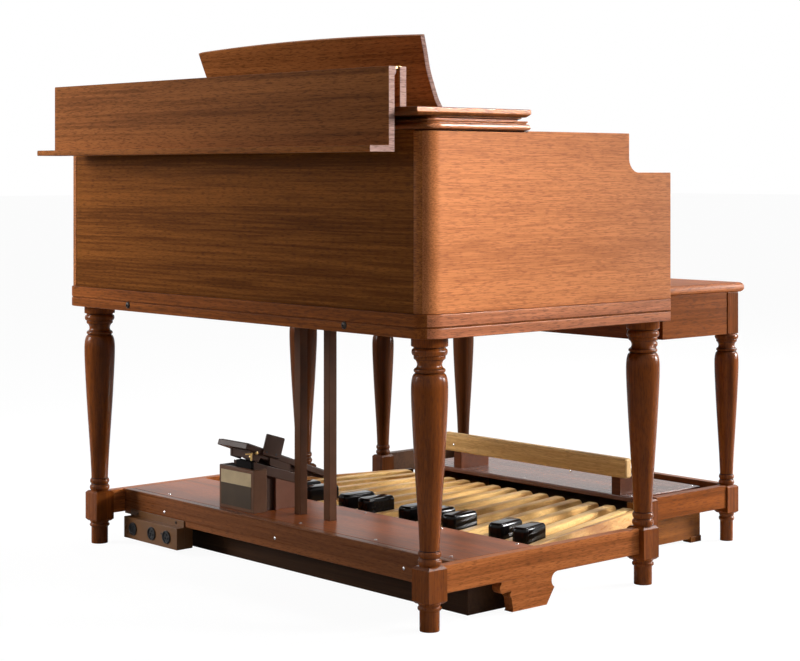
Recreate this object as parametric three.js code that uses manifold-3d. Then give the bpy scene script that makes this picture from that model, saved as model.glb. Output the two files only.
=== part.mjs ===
// A tonewheel organ on turned legs, with its radiating pedalboard and its bench.
// Lengths are millimetres. X runs to the player's right, Y away from the player, Z up.
// While it is modelled, Y is zero at the axes of the rear legs and Z is zero on the floor.
import * as THREE from "three";
import { mergeVertices } from "three/addons/utils/BufferGeometryUtils.js";
import Module from "manifold-3d";

const wasm = await Module();
wasm.setup();

// Driving sizes. All the others are measured from these.
const overall = { width: 1238, bodyBottom: 549.4, bodyTop: 935.8 };
const legs = { inset: 55.6, spanY: 604.9, block: 47, blockBottom: 51, blockTop: 121, shoulder: 35 };
const overrun = 2;
const weld = 1e-4;
const fit = 0.3;
const glueLine = 0.05;
const counts = { pedals: 25, keys: 61, presets: 12, drawbars: [9, 9, 2, 9, 9], tabs: 7 };
const facets = { leg: 12, knob: 12, round: 5 };

// The body stands on two bands, and each board's place follows from the overall width.
const band = { proud: 4, height: 45.7, grooveHeight: 20, groove: 2.5, corner: 41, floorBoard: 18 };
const cheek = { thick: 37, front: -633, rear: 54.3, stepTop: 856.5, stepFace: -503.8, cove: 30, corner: 36 };
const rearPanel = { thick: 20 };
const deck = { thick: 19, front: -214, edge: 6, seat: 0.3 };
const riseStrip = { height: 6.7, inset: 14 };
const generator = { clear: 78, front: -150, rear: 10, height: 150 };
const slip = { thick: 20, height: 92 };

// The lid lies open on the deck: a top board, a riser glued to its rear edge, and a flap.
const lid = { thick: 15.4, edge: 1.5, front: -215.5, rear: 81.7, clearance: 2.3 };
const riser = { thick: 16, setIn: 12.3, height: 74 };
const flap = { gap: 9, thick: 18, height: 157, lip: 46, lipThick: 12, hingeDrop: 4.5, hingeLeaf: 4 };
const rest = { x: -14, seat: 4.2, hingeY: -197, height: 167, thick: 12, width: 752, arch: 8, lean: 18.5 };

const key = { sink: 3, endBlock: 72.75, gap: 1.2, height: 21, sharpWidth: 12, sharpHeight: 11 };
const keyLip = { round: 4, bed: 10, sharpTaper: 2 };
const lowerKeys = { top: 765, front: -604, length: 150, sharpLength: 95 };
const upperKeys = { top: 830, front: -512, length: 122, sharpLength: 75 };
const panel = { front: -386, frontTop: 846, rear: -228, rearTop: 882, base: 800 };
const drawbar = {
  left: 158, right: 214.5, height: 9, length: 12, gapY: 9, rod: 4, widthShare: 0.703, groupShare: 1.162,
};
const tab = { width: 17, length: 26, height: 7, pitch: 21, right: 155 };
const dial = { radius: 13, height: 14, left: 78 };

// The lower frame joins the legs, and its shelf carries the pedal box and the two square posts.
const sideRail = { thick: 22, inset: 12, bottom: 66, top: 119 };
const bracket = { rear: -174, front: -334, bottom: 4, footInset: 36, footFront: 30, lobe: 12, cove: 16 };
const rearRail = { rear: -62, thick: 20, bottom: 62 };
const shelf = { thick: 16, front: -290 };
const switchBox = { bottom: 1, clear: 22.9, rear: -131, front: -252, top: 53, stem: 60, stemFront: -200 };
const socketBox = {
  left: 311, right: 523, rear: -40, front: -84, bottom: 13, top: 61.5, flange: 76, flangeThick: 3,
};
const socket = { radius: 15, depth: 3, dropShare: 0.5, placeShares: [0.13, 0.46, 0.76] };
const post = { side: 20, y: -163, places: [23, -76] };

const pedalBox = { left: 89.5, right: 214, rear: -86, rearFront: -122, top: 213, step: 5, front: -330 };
const nose = { top: 222, foot: 146 };
const treadle = { left: 98, right: 201, rear: -77, rearTop: 272, front: -342, slope: 21, thick: 12.5 };
const pivot = { y: -150, z: 222, pin: 4, ear: 7, earThick: 14, lug: 26 };
const stop = { left: 98, right: 161, y: -163, height: 42, thick: 13 };

// The pedals radiate: their pitch is set at the sharps and at the heels, and all else follows it.
const fan = { x: -3.5, sharpY: -345, sharpPitch: 68.5, heelY: -787, heelPitch: 51.6, toeY: -262 };
const natural = { width: 25, thick: 20, heelTop: 110, toeTop: 97.5, nose: 9 };
const sharp = { width: 14, drop: 12 };
const cap = { width: 36, rear: -340, front: -425, top: 131, round: 5, foot: 93 };
const tongue = { width: 10, thick: 3, length: 22, bottom: 88 };
const sidePlank = { thick: 12, gap: 6, bottom: 62, top: 108, clear: 4 };
const heelBox = {
  halfWidth: 350, side: 16, rear: -812, front: -1050, top: 128, cover: 12, bottom: 9, rail: 38,
};
const heelBeam = { rear: -790, bottom: 40 };
const toeBeam = { depth: 18, bottom: 56, top: 64, foot: 30 };
const glide = { proud: 2, width: 22, length: 38, height: 14 };
const footRail = { left: -344, right: 255, rear: -800, thick: 22, bottom: 169.3, height: 45, round: 6 };
const prop = { thick: 26, length: 96, places: [-304, 215] };

// The bench stands over the heel box, with more room on its treble side.
const bench = {
  clearBass: 13.8, clearTreble: 133.8, inner: -836, outer: -1105, block: 39.4, blockBottom: 64, blockTop: 129,
};
const benchLeg = { shoulder: 27.8, top: 482, turnTop: 499 };
const seat = { top: 601, thick: 22, overX: 5, overY: 15, nose: 7 };
const apron = { thick: 20, floor: 10 };
const benchRail = { thick: 20, bottom: 79, top: 131, inset: 4 };

// Turned leg: heights are shares of the length above or below the block, radii of the shoulder.
const upperTurnShares = [
  [0, 0.57], [0.012, 0.57], [0.018, 0.64], [0.038, 0.64], [0.0455, 0.555], [0.054, 0.62],
  [0.072, 0.62], [0.08, 0.545], [0.22, 0.629], [0.36, 0.743], [0.511, 0.862], [0.651, 0.954],
  [0.745, 0.997], [0.784, 1], [0.815, 0.96], [0.84, 0.83], [0.846, 0.771], [0.852, 0.829],
  [0.866, 0.829], [0.8855, 0.686], [0.904, 0.8], [0.908, 0.857], [0.9185, 0.857],
  [0.9245, 0.955], [0.948, 0.955], [0.9535, 0.886], [0.96, 1], [1, 1],
];
const lowerTurnShares = [
  [0, 0.5], [0.05, 0.54], [0.7, 0.54], [0.74, 0.64], [0.82, 0.64], [0.86, 0.6], [0.92, 0.645],
  [1, 0.6],
];
// The music rest's sides are waisted: shares of its height, and of half its width.
const restSideShares = [
  [0, 1.012], [0.07, 1], [0.17, 0.989], [0.33, 0.984], [0.52, 0.981], [0.76, 0.993],
];
const blockChamferShare = 0.1;
const semitones = 12;
const sharpAfterNatural = [true, true, false, true, true, true, false];
const half = 0.5;

const halfWidth = overall.width * half;
const bodyHalf = halfWidth - band.proud;
const cheekInner = bodyHalf - cheek.thick;
const bandTop = overall.bodyBottom + band.height;
const legHalfSpan = halfWidth - legs.inset;
const deckRear = cheek.rear + band.proud;
const benchLeft = fan.x - heelBox.halfWidth - bench.clearBass - bench.block * half;
const benchRight = fan.x + heelBox.halfWidth + bench.clearTreble + bench.block * half;

const wood = (color, roughness) => new THREE.MeshStandardMaterial({ color, roughness, metalness: 0 });
const looks = {
  walnut: wood(0x8a4a24, 0.35),
  darkWalnut: wood(0x4a2817, 0.45),
  maple: wood(0xd9b070, 0.4),
  ash: wood(0xb58a4a, 0.45),
  ebony: wood(0x0c0b0b, 0.15),
  ivory: wood(0xeae6da, 0.25),
  brownPaint: wood(0x4b3023, 0.5),
  brownMetal: new THREE.MeshStandardMaterial({ color: 0x54372a, roughness: 0.45, metalness: 0.5 }),
};

const organ = new THREE.Group();

// A closed geometry as a solid that can be joined and cut.
function solid(geometry) {
  geometry.deleteAttribute("normal");
  geometry.deleteAttribute("uv");
  const merged = mergeVertices(geometry, weld);
  const corners = Array.from(merged.index.array);
  const kept = [];
  for (let i = 0; i < corners.length; i += 3) {
    const [a, b, c] = corners.slice(i, i + 3);
    if (a !== b && b !== c && c !== a) kept.push(a, b, c);
  }
  return new wasm.Manifold(new wasm.Mesh({
    numProp: 3,
    vertProperties: merged.attributes.position.array,
    triVerts: new Uint32Array(kept),
  }));
}

function boxGeometry(x0, x1, y0, y1, z0, z1) {
  return new THREE.BoxGeometry(x1 - x0, y1 - y0, z1 - z0)
    .translate((x0 + x1) * half, (y0 + y1) * half, (z0 + z1) * half);
}

function box(...limits) {
  return solid(boxGeometry(...limits));
}

function extruded(points, depth) {
  const shape = new THREE.Shape(points.map(([a, b]) => new THREE.Vector2(a, b)));
  return new THREE.ExtrudeGeometry(shape, { depth, bevelEnabled: false });
}

// An outline in (y, z) drawn out along X.
function alongX(points, x0, x1) {
  const axes = new THREE.Matrix4().set(0, 0, 1, x0, 1, 0, 0, 0, 0, 1, 0, 0, 0, 0, 0, 1);
  return solid(extruded(points, x1 - x0).applyMatrix4(axes));
}

// An outline in (x, z) drawn out along Y.
function alongY(points, y0, y1) {
  return solid(extruded(points, y1 - y0).rotateX(Math.PI * half).translate(0, y1, 0));
}

// An outline in (x, y) drawn out along Z.
function alongZ(points, z0, z1) {
  return solid(extruded(points, z1 - z0).translate(0, 0, z0));
}

// A board of any outline whose top and bottom edges are chamfered.
function bevelledPlan(points, z0, z1, chamfer) {
  const shape = new THREE.Shape(points.map(([a, b]) => new THREE.Vector2(a, b)));
  const geometry = new THREE.ExtrudeGeometry(shape, {
    depth: z1 - z0 - chamfer - chamfer,
    bevelThickness: chamfer,
    bevelSize: chamfer,
    bevelOffset: -chamfer,
    bevelSegments: 1,
  });
  return solid(geometry.translate(0, 0, z0 + chamfer));
}

function bevelled(x0, x1, y0, y1, z0, z1, chamfer) {
  return bevelledPlan([[x0, y0], [x1, y0], [x1, y1], [x0, y1]], z0, z1, chamfer);
}

// A turned column: heights and radii from the bottom up, closed on the axis.
function turned(points, x, y) {
  const profile = points.map(([r, z]) => new THREE.Vector2(r, z));
  return solid(
    new THREE.LatheGeometry(profile, facets.leg).rotateX(Math.PI * half).translate(x, y, 0),
  );
}

// Points of an arc from one angle to another, in degrees.
function arc(cx, cy, radius, from, to, steps = facets.round) {
  return Array.from({ length: steps + 1 }, (_, i) => {
    const angle = THREE.MathUtils.degToRad(from + ((to - from) * i) / steps);
    return [cx + radius * Math.cos(angle), cy + radius * Math.sin(angle)];
  });
}

// A rectangle whose four corners are rounded, each by its own radius.
function roundedRectangle(x0, x1, y0, y1, [r00, r10, r11, r01]) {
  return [
    ...(r00 ? arc(x0 + r00, y0 + r00, r00, 180, 270) : [[x0, y0]]),
    ...(r10 ? arc(x1 - r10, y0 + r10, r10, 270, 360) : [[x1, y0]]),
    ...(r11 ? arc(x1 - r11, y1 - r11, r11, 0, 90) : [[x1, y1]]),
    ...(r01 ? arc(x0 + r01, y1 - r01, r01, 90, 180) : [[x0, y1]]),
  ];
}

function cylinderX(y, z, radius, x0, x1) {
  return solid(
    new THREE.CylinderGeometry(radius, radius, x1 - x0, facets.knob)
      .rotateZ(Math.PI * half).translate((x0 + x1) * half, y, z),
  );
}

function cylinderY(x, z, radius, y0, y1) {
  return solid(
    new THREE.CylinderGeometry(radius, radius, y1 - y0, facets.knob)
      .translate(x, (y0 + y1) * half, z),
  );
}

function cylinderZ(x, y, radius, z0, z1) {
  return solid(
    new THREE.CylinderGeometry(radius, radius, z1 - z0, facets.knob)
      .rotateX(Math.PI * half).translate(x, y, (z0 + z1) * half),
  );
}

function join(...solids) {
  return solids.flat(Infinity).reduce((whole, piece) => whole.add(piece));
}

function add(name, made, look) {
  const { vertProperties, triVerts } = made.getMesh();
  const geometry = new THREE.BufferGeometry();
  geometry.setAttribute("position", new THREE.BufferAttribute(vertProperties, 3));
  geometry.setIndex(new THREE.BufferAttribute(triVerts, 1));
  const faceted = geometry.toNonIndexed();
  faceted.computeVertexNormals();
  const mesh = new THREE.Mesh(faceted, look);
  mesh.name = name;
  organ.add(mesh);
  return mesh;
}

// Legs: a turned column through a square block.
function turnedLeg(x, y, size) {
  const turn = (shares, z0, z1) => [
    [0, z0],
    ...shares.map(([zShare, rShare]) => [rShare * size.shoulder, z0 + zShare * (z1 - z0)]),
    [0, z1],
  ];
  const h = size.block * half;
  const sink = size.block * blockChamferShare;
  return join(
    turned(turn(upperTurnShares, size.blockTop - sink, size.top), x, y),
    turned(turn(lowerTurnShares, 0, size.blockBottom + sink), x, y),
    bevelled(x - h, x + h, y - h, y + h, size.blockBottom, size.blockTop, sink),
  );
}

function addConsoleLegs() {
  const column = turnedLeg(0, 0, { ...legs, top: overall.bodyBottom });
  [["rear", 0], ["front", -legs.spanY]].forEach(([end, y]) => {
    [["bass", -legHalfSpan], ["treble", legHalfSpan]].forEach(([side, x]) => {
      add(`leg_${end}_${side}`, column, looks.walnut).position.set(x, y, 0);
    });
  });
}

// Body: two bands round a floor board, two cheeks, a rear panel and a moulded deck.
function addBody() {
  const rear = cheek.rear + band.proud;
  const front = cheek.front + band.proud;
  const round = [0, 0, band.corner, band.corner];
  const outline = roundedRectangle(-halfWidth, halfWidth, front, rear, round);
  const slim = roundedRectangle(
    -halfWidth + band.groove, halfWidth - band.groove, front + band.groove, rear - band.groove, round,
  );
  const grooveZ = overall.bodyBottom + band.grooveHeight;
  const frame = join(
    alongZ(outline, overall.bodyBottom, grooveZ),
    alongZ(slim, grooveZ - fit, grooveZ + band.groove + fit),
    alongZ(outline, grooveZ + band.groove, bandTop),
  );
  const hollow = box(
    -cheekInner, cheekInner, front + slip.thick, cheek.rear - rearPanel.thick,
    overall.bodyBottom + band.floorBoard, bandTop + overrun,
  );
  add("base_frame", frame.subtract(hollow), looks.walnut);
  add(
    "tone_generator",
    box(
      generator.clear - cheekInner, cheekInner - generator.clear, generator.front, generator.rear,
      overall.bodyBottom + band.floorBoard, bandTop + generator.height,
    ),
    looks.brownMetal,
  );

  // The cheek's outline steps down at the front through a cove.
  const side = [
    [cheek.front, bandTop],
    [cheek.rear, bandTop],
    [cheek.rear, overall.bodyTop],
    [cheek.stepFace, overall.bodyTop],
    ...arc(cheek.stepFace - cheek.cove, cheek.stepTop + cheek.cove, cheek.cove, 0, -90),
    [cheek.front, cheek.stepTop],
  ];
  const cheekPlan = [0, 0, 0, cheek.corner];
  const bassPlan = alongZ(
    roundedRectangle(-bodyHalf, -cheekInner, cheek.front, cheek.rear, cheekPlan), bandTop, overall.bodyTop,
  );
  const bass = alongX(side, -bodyHalf, -cheekInner).intersect(bassPlan);
  add("bass_side", bass, looks.walnut);
  add("treble_side", bass, looks.walnut).scale.set(-1, 1, 1);
  add(
    "rear_panel",
    box(-cheekInner, cheekInner, cheek.rear - rearPanel.thick, cheek.rear, bandTop, overall.bodyTop),
    looks.walnut,
  );
  add(
    "key_slip",
    box(-cheekInner, cheekInner, cheek.front, cheek.front + slip.thick, bandTop, bandTop + slip.height),
    looks.walnut,
  );

  // The deck's edge is rounded over, and a low strip on it bears the open lid.
  const deckTop = overall.bodyTop + deck.thick;
  const plan = roundedRectangle(-halfWidth, halfWidth, deck.front, deckRear, round);
  const moulded = bevelledPlan(plan, overall.bodyTop, deckTop, deck.edge);
  const strip = box(
    -halfWidth + riseStrip.inset, halfWidth - riseStrip.inset, deck.front + riseStrip.inset,
    deckRear - riseStrip.inset, deckTop - fit, deckTop + riseStrip.height,
  );
  add("top_deck", join(moulded, strip), looks.walnut);
}

// The riser and the flap pass between the cheeks when the lid is closed.
const lidNarrowHalf = cheekInner - lid.clearance;
const lidBottom = overall.bodyTop + deck.thick + riseStrip.height + deck.seat;
const lidTop = lidBottom + lid.thick;
const riserRear = lid.rear + riser.thick - riser.setIn;
const flapInner = riserRear + flap.gap;
const flapTop = lidTop + riser.height;

// Lid: the board with its riser, the flap that hangs from the riser, and the music rest.
function addLid() {
  add(
    "lid_top",
    bevelled(-halfWidth, halfWidth, lid.front, lid.rear, lidBottom, lidTop, lid.edge),
    looks.walnut,
  );
  add(
    "lid_riser",
    box(-lidNarrowHalf, lidNarrowHalf, lid.rear - riser.setIn, riserRear, lidTop, flapTop),
    looks.walnut,
  );

  const flapBottom = flapTop - flap.height;
  const drop = [
    [flapInner, flapBottom],
    [flapInner + flap.thick + flap.lip, flapBottom],
    [flapInner + flap.thick + flap.lip, flapBottom + flap.lipThick],
    [flapInner + flap.thick, flapBottom + flap.lipThick],
    [flapInner + flap.thick, flapTop],
    [flapInner, flapTop],
  ];
  const leaf = box(
    -lidNarrowHalf, lidNarrowHalf, riserRear + fit, flapInner + fit,
    flapTop - flap.hingeDrop - flap.hingeLeaf, flapTop - flap.hingeDrop,
  );
  add(
    "lid_flap",
    join(alongX(drop, -lidNarrowHalf, lidNarrowHalf), leaf),
    looks.walnut,
  );

  // The rest's top edge is a low arch.
  const w = rest.width * half;
  const archRadius = (w * w + rest.arch * rest.arch) / (rest.arch + rest.arch);
  const archAngle = THREE.MathUtils.radToDeg(Math.asin(w / archRadius));
  const right = restSideShares.map(([rise, reach]) => [w * reach, rest.height * rise]);
  const shape = [
    ...right,
    ...arc(0, rest.height - archRadius, archRadius, 90 - archAngle, 90 + archAngle),
    ...right.map(([x, z]) => [-x, z]).reverse(),
  ];
  const ledge = add("music_rest", alongY(shape, 0, rest.thick), looks.walnut);
  ledge.rotation.x = -THREE.MathUtils.degToRad(rest.lean);
  ledge.position.set(rest.x, rest.hingeY, lidTop + rest.seat);
}

// A manual: a key bed between two end blocks, with natural keys and sharps fused to it.
function manual(place) {
  const octave = sharpAfterNatural.length;
  const naturalCount = Math.ceil(((counts.keys + counts.presets) * octave) / semitones);
  const start = key.endBlock - cheekInner;
  const pitch = (-start - start) / naturalCount;
  const keyBottom = place.top - key.height;
  const rear = place.front + place.length;
  const profile = [
    [place.front, keyBottom],
    [rear, keyBottom],
    [rear, place.top],
    ...arc(place.front + keyLip.round, place.top - keyLip.round, keyLip.round, 90, 180, 2),
  ];
  const pieces = [
    box(-cheekInner, cheekInner, place.front + key.height, rear, keyBottom - keyLip.bed, keyBottom + fit),
    box(-cheekInner, start - key.gap, place.front, rear, keyBottom - keyLip.bed, place.top),
    box(-start + key.gap, cheekInner, place.front, rear, keyBottom - keyLip.bed, place.top),
  ];
  for (let i = 0; i < naturalCount; i += 1) {
    const x = start + i * pitch;
    pieces.push(alongX(profile, x + key.gap * half, x + pitch - key.gap * half));
    if (sharpAfterNatural[i % sharpAfterNatural.length] && i < naturalCount - 1) {
      const centre = x + pitch;
      const w = key.sharpWidth * half;
      const sharpFront = rear - place.sharpLength;
      const section = [
        [centre - w, place.top - key.sink],
        [centre + w, place.top - key.sink],
        [centre + w - keyLip.sharpTaper, place.top + key.sharpHeight],
        [centre - w + keyLip.sharpTaper, place.top + key.sharpHeight],
      ];
      pieces.push(alongY(section, sharpFront, rear - key.sink));
    }
  }
  return join(pieces);
}

function addManuals() {
  add("lower_manual", manual(lowerKeys), looks.ivory);
  add("upper_manual", manual(upperKeys), looks.ivory);

  // The panel slopes up behind the upper manual and carries drawbars, tabs and one dial.
  const slope = [
    [panel.front, panel.base],
    [panel.rear, panel.base],
    [panel.rear, panel.rearTop],
    [panel.front, panel.frontTop],
  ];
  const rise = (panel.rearTop - panel.frontTop) / (panel.rear - panel.front);
  const topAt = (y) => panel.frontTop + rise * (y - panel.front);
  const pieces = [alongX(slope, -cheekInner, cheekInner)];
  const barCount = counts.drawbars.reduce((sum, count) => sum + count, 0);
  const groupGaps = counts.drawbars.length - 1;
  const run = cheekInner + cheekInner - drawbar.left - drawbar.right;
  const pitch = run / (barCount - 1 + drawbar.widthShare + groupGaps * drawbar.groupShare);
  const barY = panel.front + drawbar.gapY;
  const barZ = topAt(barY + drawbar.length);
  let x = drawbar.left - cheekInner;
  counts.drawbars.forEach((count) => {
    for (let i = 0; i < count; i += 1) {
      pieces.push(box(
        x, x + pitch * drawbar.widthShare, barY, barY + drawbar.length,
        barZ - drawbar.rod, barZ + drawbar.height,
      ));
      x += pitch;
    }
    x += pitch * drawbar.groupShare;
  });
  const tabY = panel.rear - tab.length - drawbar.gapY;
  for (let i = 0; i < counts.tabs; i += 1) {
    const left = cheekInner - tab.right - tab.width - i * tab.pitch;
    const z = topAt(tabY);
    pieces.push(box(left, left + tab.width, tabY, tabY + tab.length, z - tab.height, z + tab.height));
  }
  const dialY = (panel.front + panel.rear) * half;
  const dialFace = topAt(dialY);
  pieces.push(
    cylinderZ(dial.left - cheekInner, dialY, dial.radius, dialFace - drawbar.rod, dialFace + dial.height),
  );
  add("drawbar_panel", join(pieces), looks.darkWalnut);
}

// Lower frame: two side rails with scalloped brackets, a rear rail and the shelf.
function addLowerFrame() {
  const railOuter = legHalfSpan + legs.block * half - sideRail.inset;
  const railInner = railOuter - sideRail.thick;
  const blockHalf = legs.block * half;
  const footRear = bracket.rear - bracket.footInset;
  const footFront = bracket.front + bracket.footFront;
  const scallop = [
    [bracket.rear, sideRail.bottom + fit],
    [bracket.rear, sideRail.bottom],
    ...arc(bracket.rear - bracket.lobe, sideRail.bottom - bracket.lobe, bracket.lobe, 60, -60),
    ...arc(footRear, sideRail.bottom - bracket.lobe - bracket.cove, bracket.cove * half, 60, -60),
    [footRear, bracket.bottom],
    [footFront, bracket.bottom],
    ...arc(bracket.front, sideRail.bottom - bracket.cove, bracket.cove, -60, 90),
    [bracket.front, sideRail.bottom + fit],
  ];
  const rail = join(
    box(
      -railOuter, -railInner, glueLine + blockHalf - legs.spanY, -blockHalf - glueLine,
      sideRail.bottom, sideRail.top,
    ),
    alongX(scallop, -railOuter, -railInner),
  );
  add("side_rail_bass", rail, looks.walnut);
  add("side_rail_treble", rail, looks.walnut).scale.set(-1, 1, 1);

  const railFront = rearRail.rear - rearRail.thick;
  add(
    "rear_rail",
    box(-railInner, railInner, railFront, rearRail.rear, rearRail.bottom, sideRail.top),
    looks.walnut,
  );
  const shelfBottom = sideRail.top - shelf.thick;
  add(
    "shelf",
    box(-railInner, railInner, shelf.front, railFront - glueLine, shelfBottom, sideRail.top),
    looks.walnut,
  );
  // The switch box under the shelf is hung from it by a stem at each end.
  const w = railInner - switchBox.clear;
  const stem = (x) => box(
    x, x + switchBox.stem, switchBox.stemFront, switchBox.rear, switchBox.top - overrun, shelfBottom,
  );
  add(
    "pedal_switch_box",
    join(
      box(-w, w, switchBox.front, switchBox.rear, switchBox.bottom, switchBox.top),
      stem(-w),
      stem(w - switchBox.stem),
    ),
    looks.darkWalnut,
  );

  // The socket box hangs on the rear rail by a folded flange.
  const s = socketBox;
  const plateFront = rearRail.rear + glueLine;
  const casing = join(
    box(s.left, s.right, plateFront, s.rear, s.bottom, s.top),
    box(s.left, s.right, s.front, plateFront + fit, s.bottom, rearRail.bottom - glueLine),
    box(s.left, s.right, plateFront, plateFront + s.flangeThick, s.top - fit, s.flange),
  );
  const socketZ = s.bottom + (s.top - s.bottom) * socket.dropShare;
  const sockets = socket.placeShares.map((share) => {
    const x = s.left + (s.right - s.left) * share;
    return cylinderY(x, socketZ, socket.radius, s.rear - socket.depth, s.rear + overrun);
  });
  add("socket_box", casing.subtract(join(sockets)), looks.brownMetal);

  post.places.forEach((x, i) => {
    const h = post.side * half;
    add(
      ["post_treble", "post_bass"][i],
      box(x - h, x + h, post.y - h, post.y + h, sideRail.top, overall.bodyBottom),
      looks.brownPaint,
    );
  });
}

// Expression pedal: a box with two ears, and a sloping treadle that rocks on their pin.
function addExpression() {
  const p = pedalBox;
  const z0 = sideRail.top;
  const wedge = [
    [p.rearFront + fit, z0],
    [p.rearFront + fit, nose.top],
    [p.front, nose.foot],
    [p.front, z0],
  ];
  const ear = (x0, x1) => join(
    cylinderX(pivot.y, pivot.z, pivot.ear, x0, x1),
    box(x0, x1, pivot.y - pivot.ear, pivot.y + pivot.ear, nose.foot, pivot.z),
  );
  const earLeft = p.left + p.step;
  const earRight = p.right - p.step;
  const casing = join(
    box(p.left, p.right, p.rearFront, p.rear, z0, p.top),
    alongX(wedge, earLeft, earRight),
    ear(earLeft, earLeft + pivot.earThick),
    ear(earRight - pivot.earThick, earRight),
  );
  const bore = cylinderX(pivot.y, pivot.z, pivot.pin + fit, earLeft - overrun, earRight + overrun);
  add("expression_box", casing.subtract(bore), looks.brownPaint);

  const slope = Math.tan(THREE.MathUtils.degToRad(treadle.slope));
  const drop = treadle.thick / Math.cos(THREE.MathUtils.degToRad(treadle.slope));
  const topAt = (y) => treadle.rearTop + slope * (y - treadle.rear);
  const plate = [
    [treadle.rear, treadle.rearTop],
    [treadle.rear, treadle.rearTop - drop],
    [treadle.front, topAt(treadle.front) - drop],
    [treadle.front, topAt(treadle.front)],
  ];
  const lugLeft = earLeft + pivot.earThick + fit;
  const lugRight = earRight - pivot.earThick - fit;
  const lug = [
    [pivot.y - pivot.ear, pivot.z],
    [pivot.y + pivot.ear, pivot.z],
    [pivot.y + pivot.lug * half, topAt(pivot.y + pivot.lug * half) - drop * half],
    [pivot.y - pivot.lug * half, topAt(pivot.y - pivot.lug * half) - drop * half],
  ];
  const standing = solid(
    boxGeometry(stop.left, stop.right, -stop.thick, 0, -treadle.thick * half, stop.height)
      .rotateX(THREE.MathUtils.degToRad(treadle.slope))
      .translate(0, stop.y, topAt(stop.y)),
  );
  add(
    "expression_treadle",
    join(
      alongX(plate, treadle.left, treadle.right),
      alongX(lug, lugLeft, lugRight),
      cylinderX(pivot.y, pivot.z, pivot.pin, earLeft, earRight),
      cylinderX(pivot.y, pivot.z, pivot.ear, lugLeft, lugRight),
      standing,
    ),
    looks.brownPaint,
  );
}

const fanSlope = (fan.sharpPitch - fan.heelPitch) / (fan.sharpY - fan.heelY);
const pitchAt = (y) => fan.heelPitch + fanSlope * (y - fan.heelY);

// Pedals: one bar each, set along its own ray. Sharps carry a raised cap at the toe.
const naturalSteps = Math.floor(counts.pedals / semitones) * sharpAfterNatural.length;
const pedalPlaces = [];
for (let step = 0; step <= naturalSteps; step += 1) {
  pedalPlaces.push({ ray: step - naturalSteps * half, isSharp: false });
  if (sharpAfterNatural[step % sharpAfterNatural.length] && step < naturalSteps) {
    pedalPlaces.push({ ray: step + half - naturalSteps * half, isSharp: true });
  }
}

function pedalSolid(isSharp, length) {
  const drop = isSharp ? sharp.drop : 0;
  const w = (isSharp ? sharp.width : natural.width) * half;
  const heelTop = natural.heelTop - drop;
  const toeTop = natural.toeTop - drop * half;
  const thick = natural.thick - drop * half;
  const bar = [
    [0, heelTop - thick],
    [length, toeTop - thick],
    [length, toeTop],
    ...arc(natural.nose, heelTop - natural.nose, natural.nose, 90, 180, 3),
  ];
  const pieces = [
    alongX(bar, -w, w),
    box(
      -tongue.width * half, tongue.width * half, -tongue.length, natural.nose,
      tongue.bottom, tongue.bottom + tongue.thick,
    ),
  ];
  if (isSharp) {
    const c = cap.width * half;
    const r = cap.round;
    const y0 = cap.front - fan.heelY;
    const y1 = cap.rear - fan.heelY;
    const shape = roundedRectangle(-c, c, cap.foot, cap.top, [0, 0, r, r]);
    const plan = roundedRectangle(-c, c, y0, y1, [r, r, c - r, c - r]);
    pieces.push(alongY(shape, y0, y1).intersect(alongZ(plan, cap.foot, cap.top)));
  }
  return join(pieces);
}

function addPedals() {
  const length = fan.toeY - fan.heelY;
  pedalPlaces.forEach(({ ray, isSharp }, i) => {
    const mesh = add(
      "pedal_" + String(i + 1).padStart(2, "0"),
      pedalSolid(isSharp, length),
      isSharp ? looks.ebony : looks.maple,
    );
    mesh.position.set(fan.x + ray * fan.heelPitch, fan.heelY, 0);
    mesh.rotation.z = -Math.atan(ray * fanSlope);
  });
}

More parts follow.
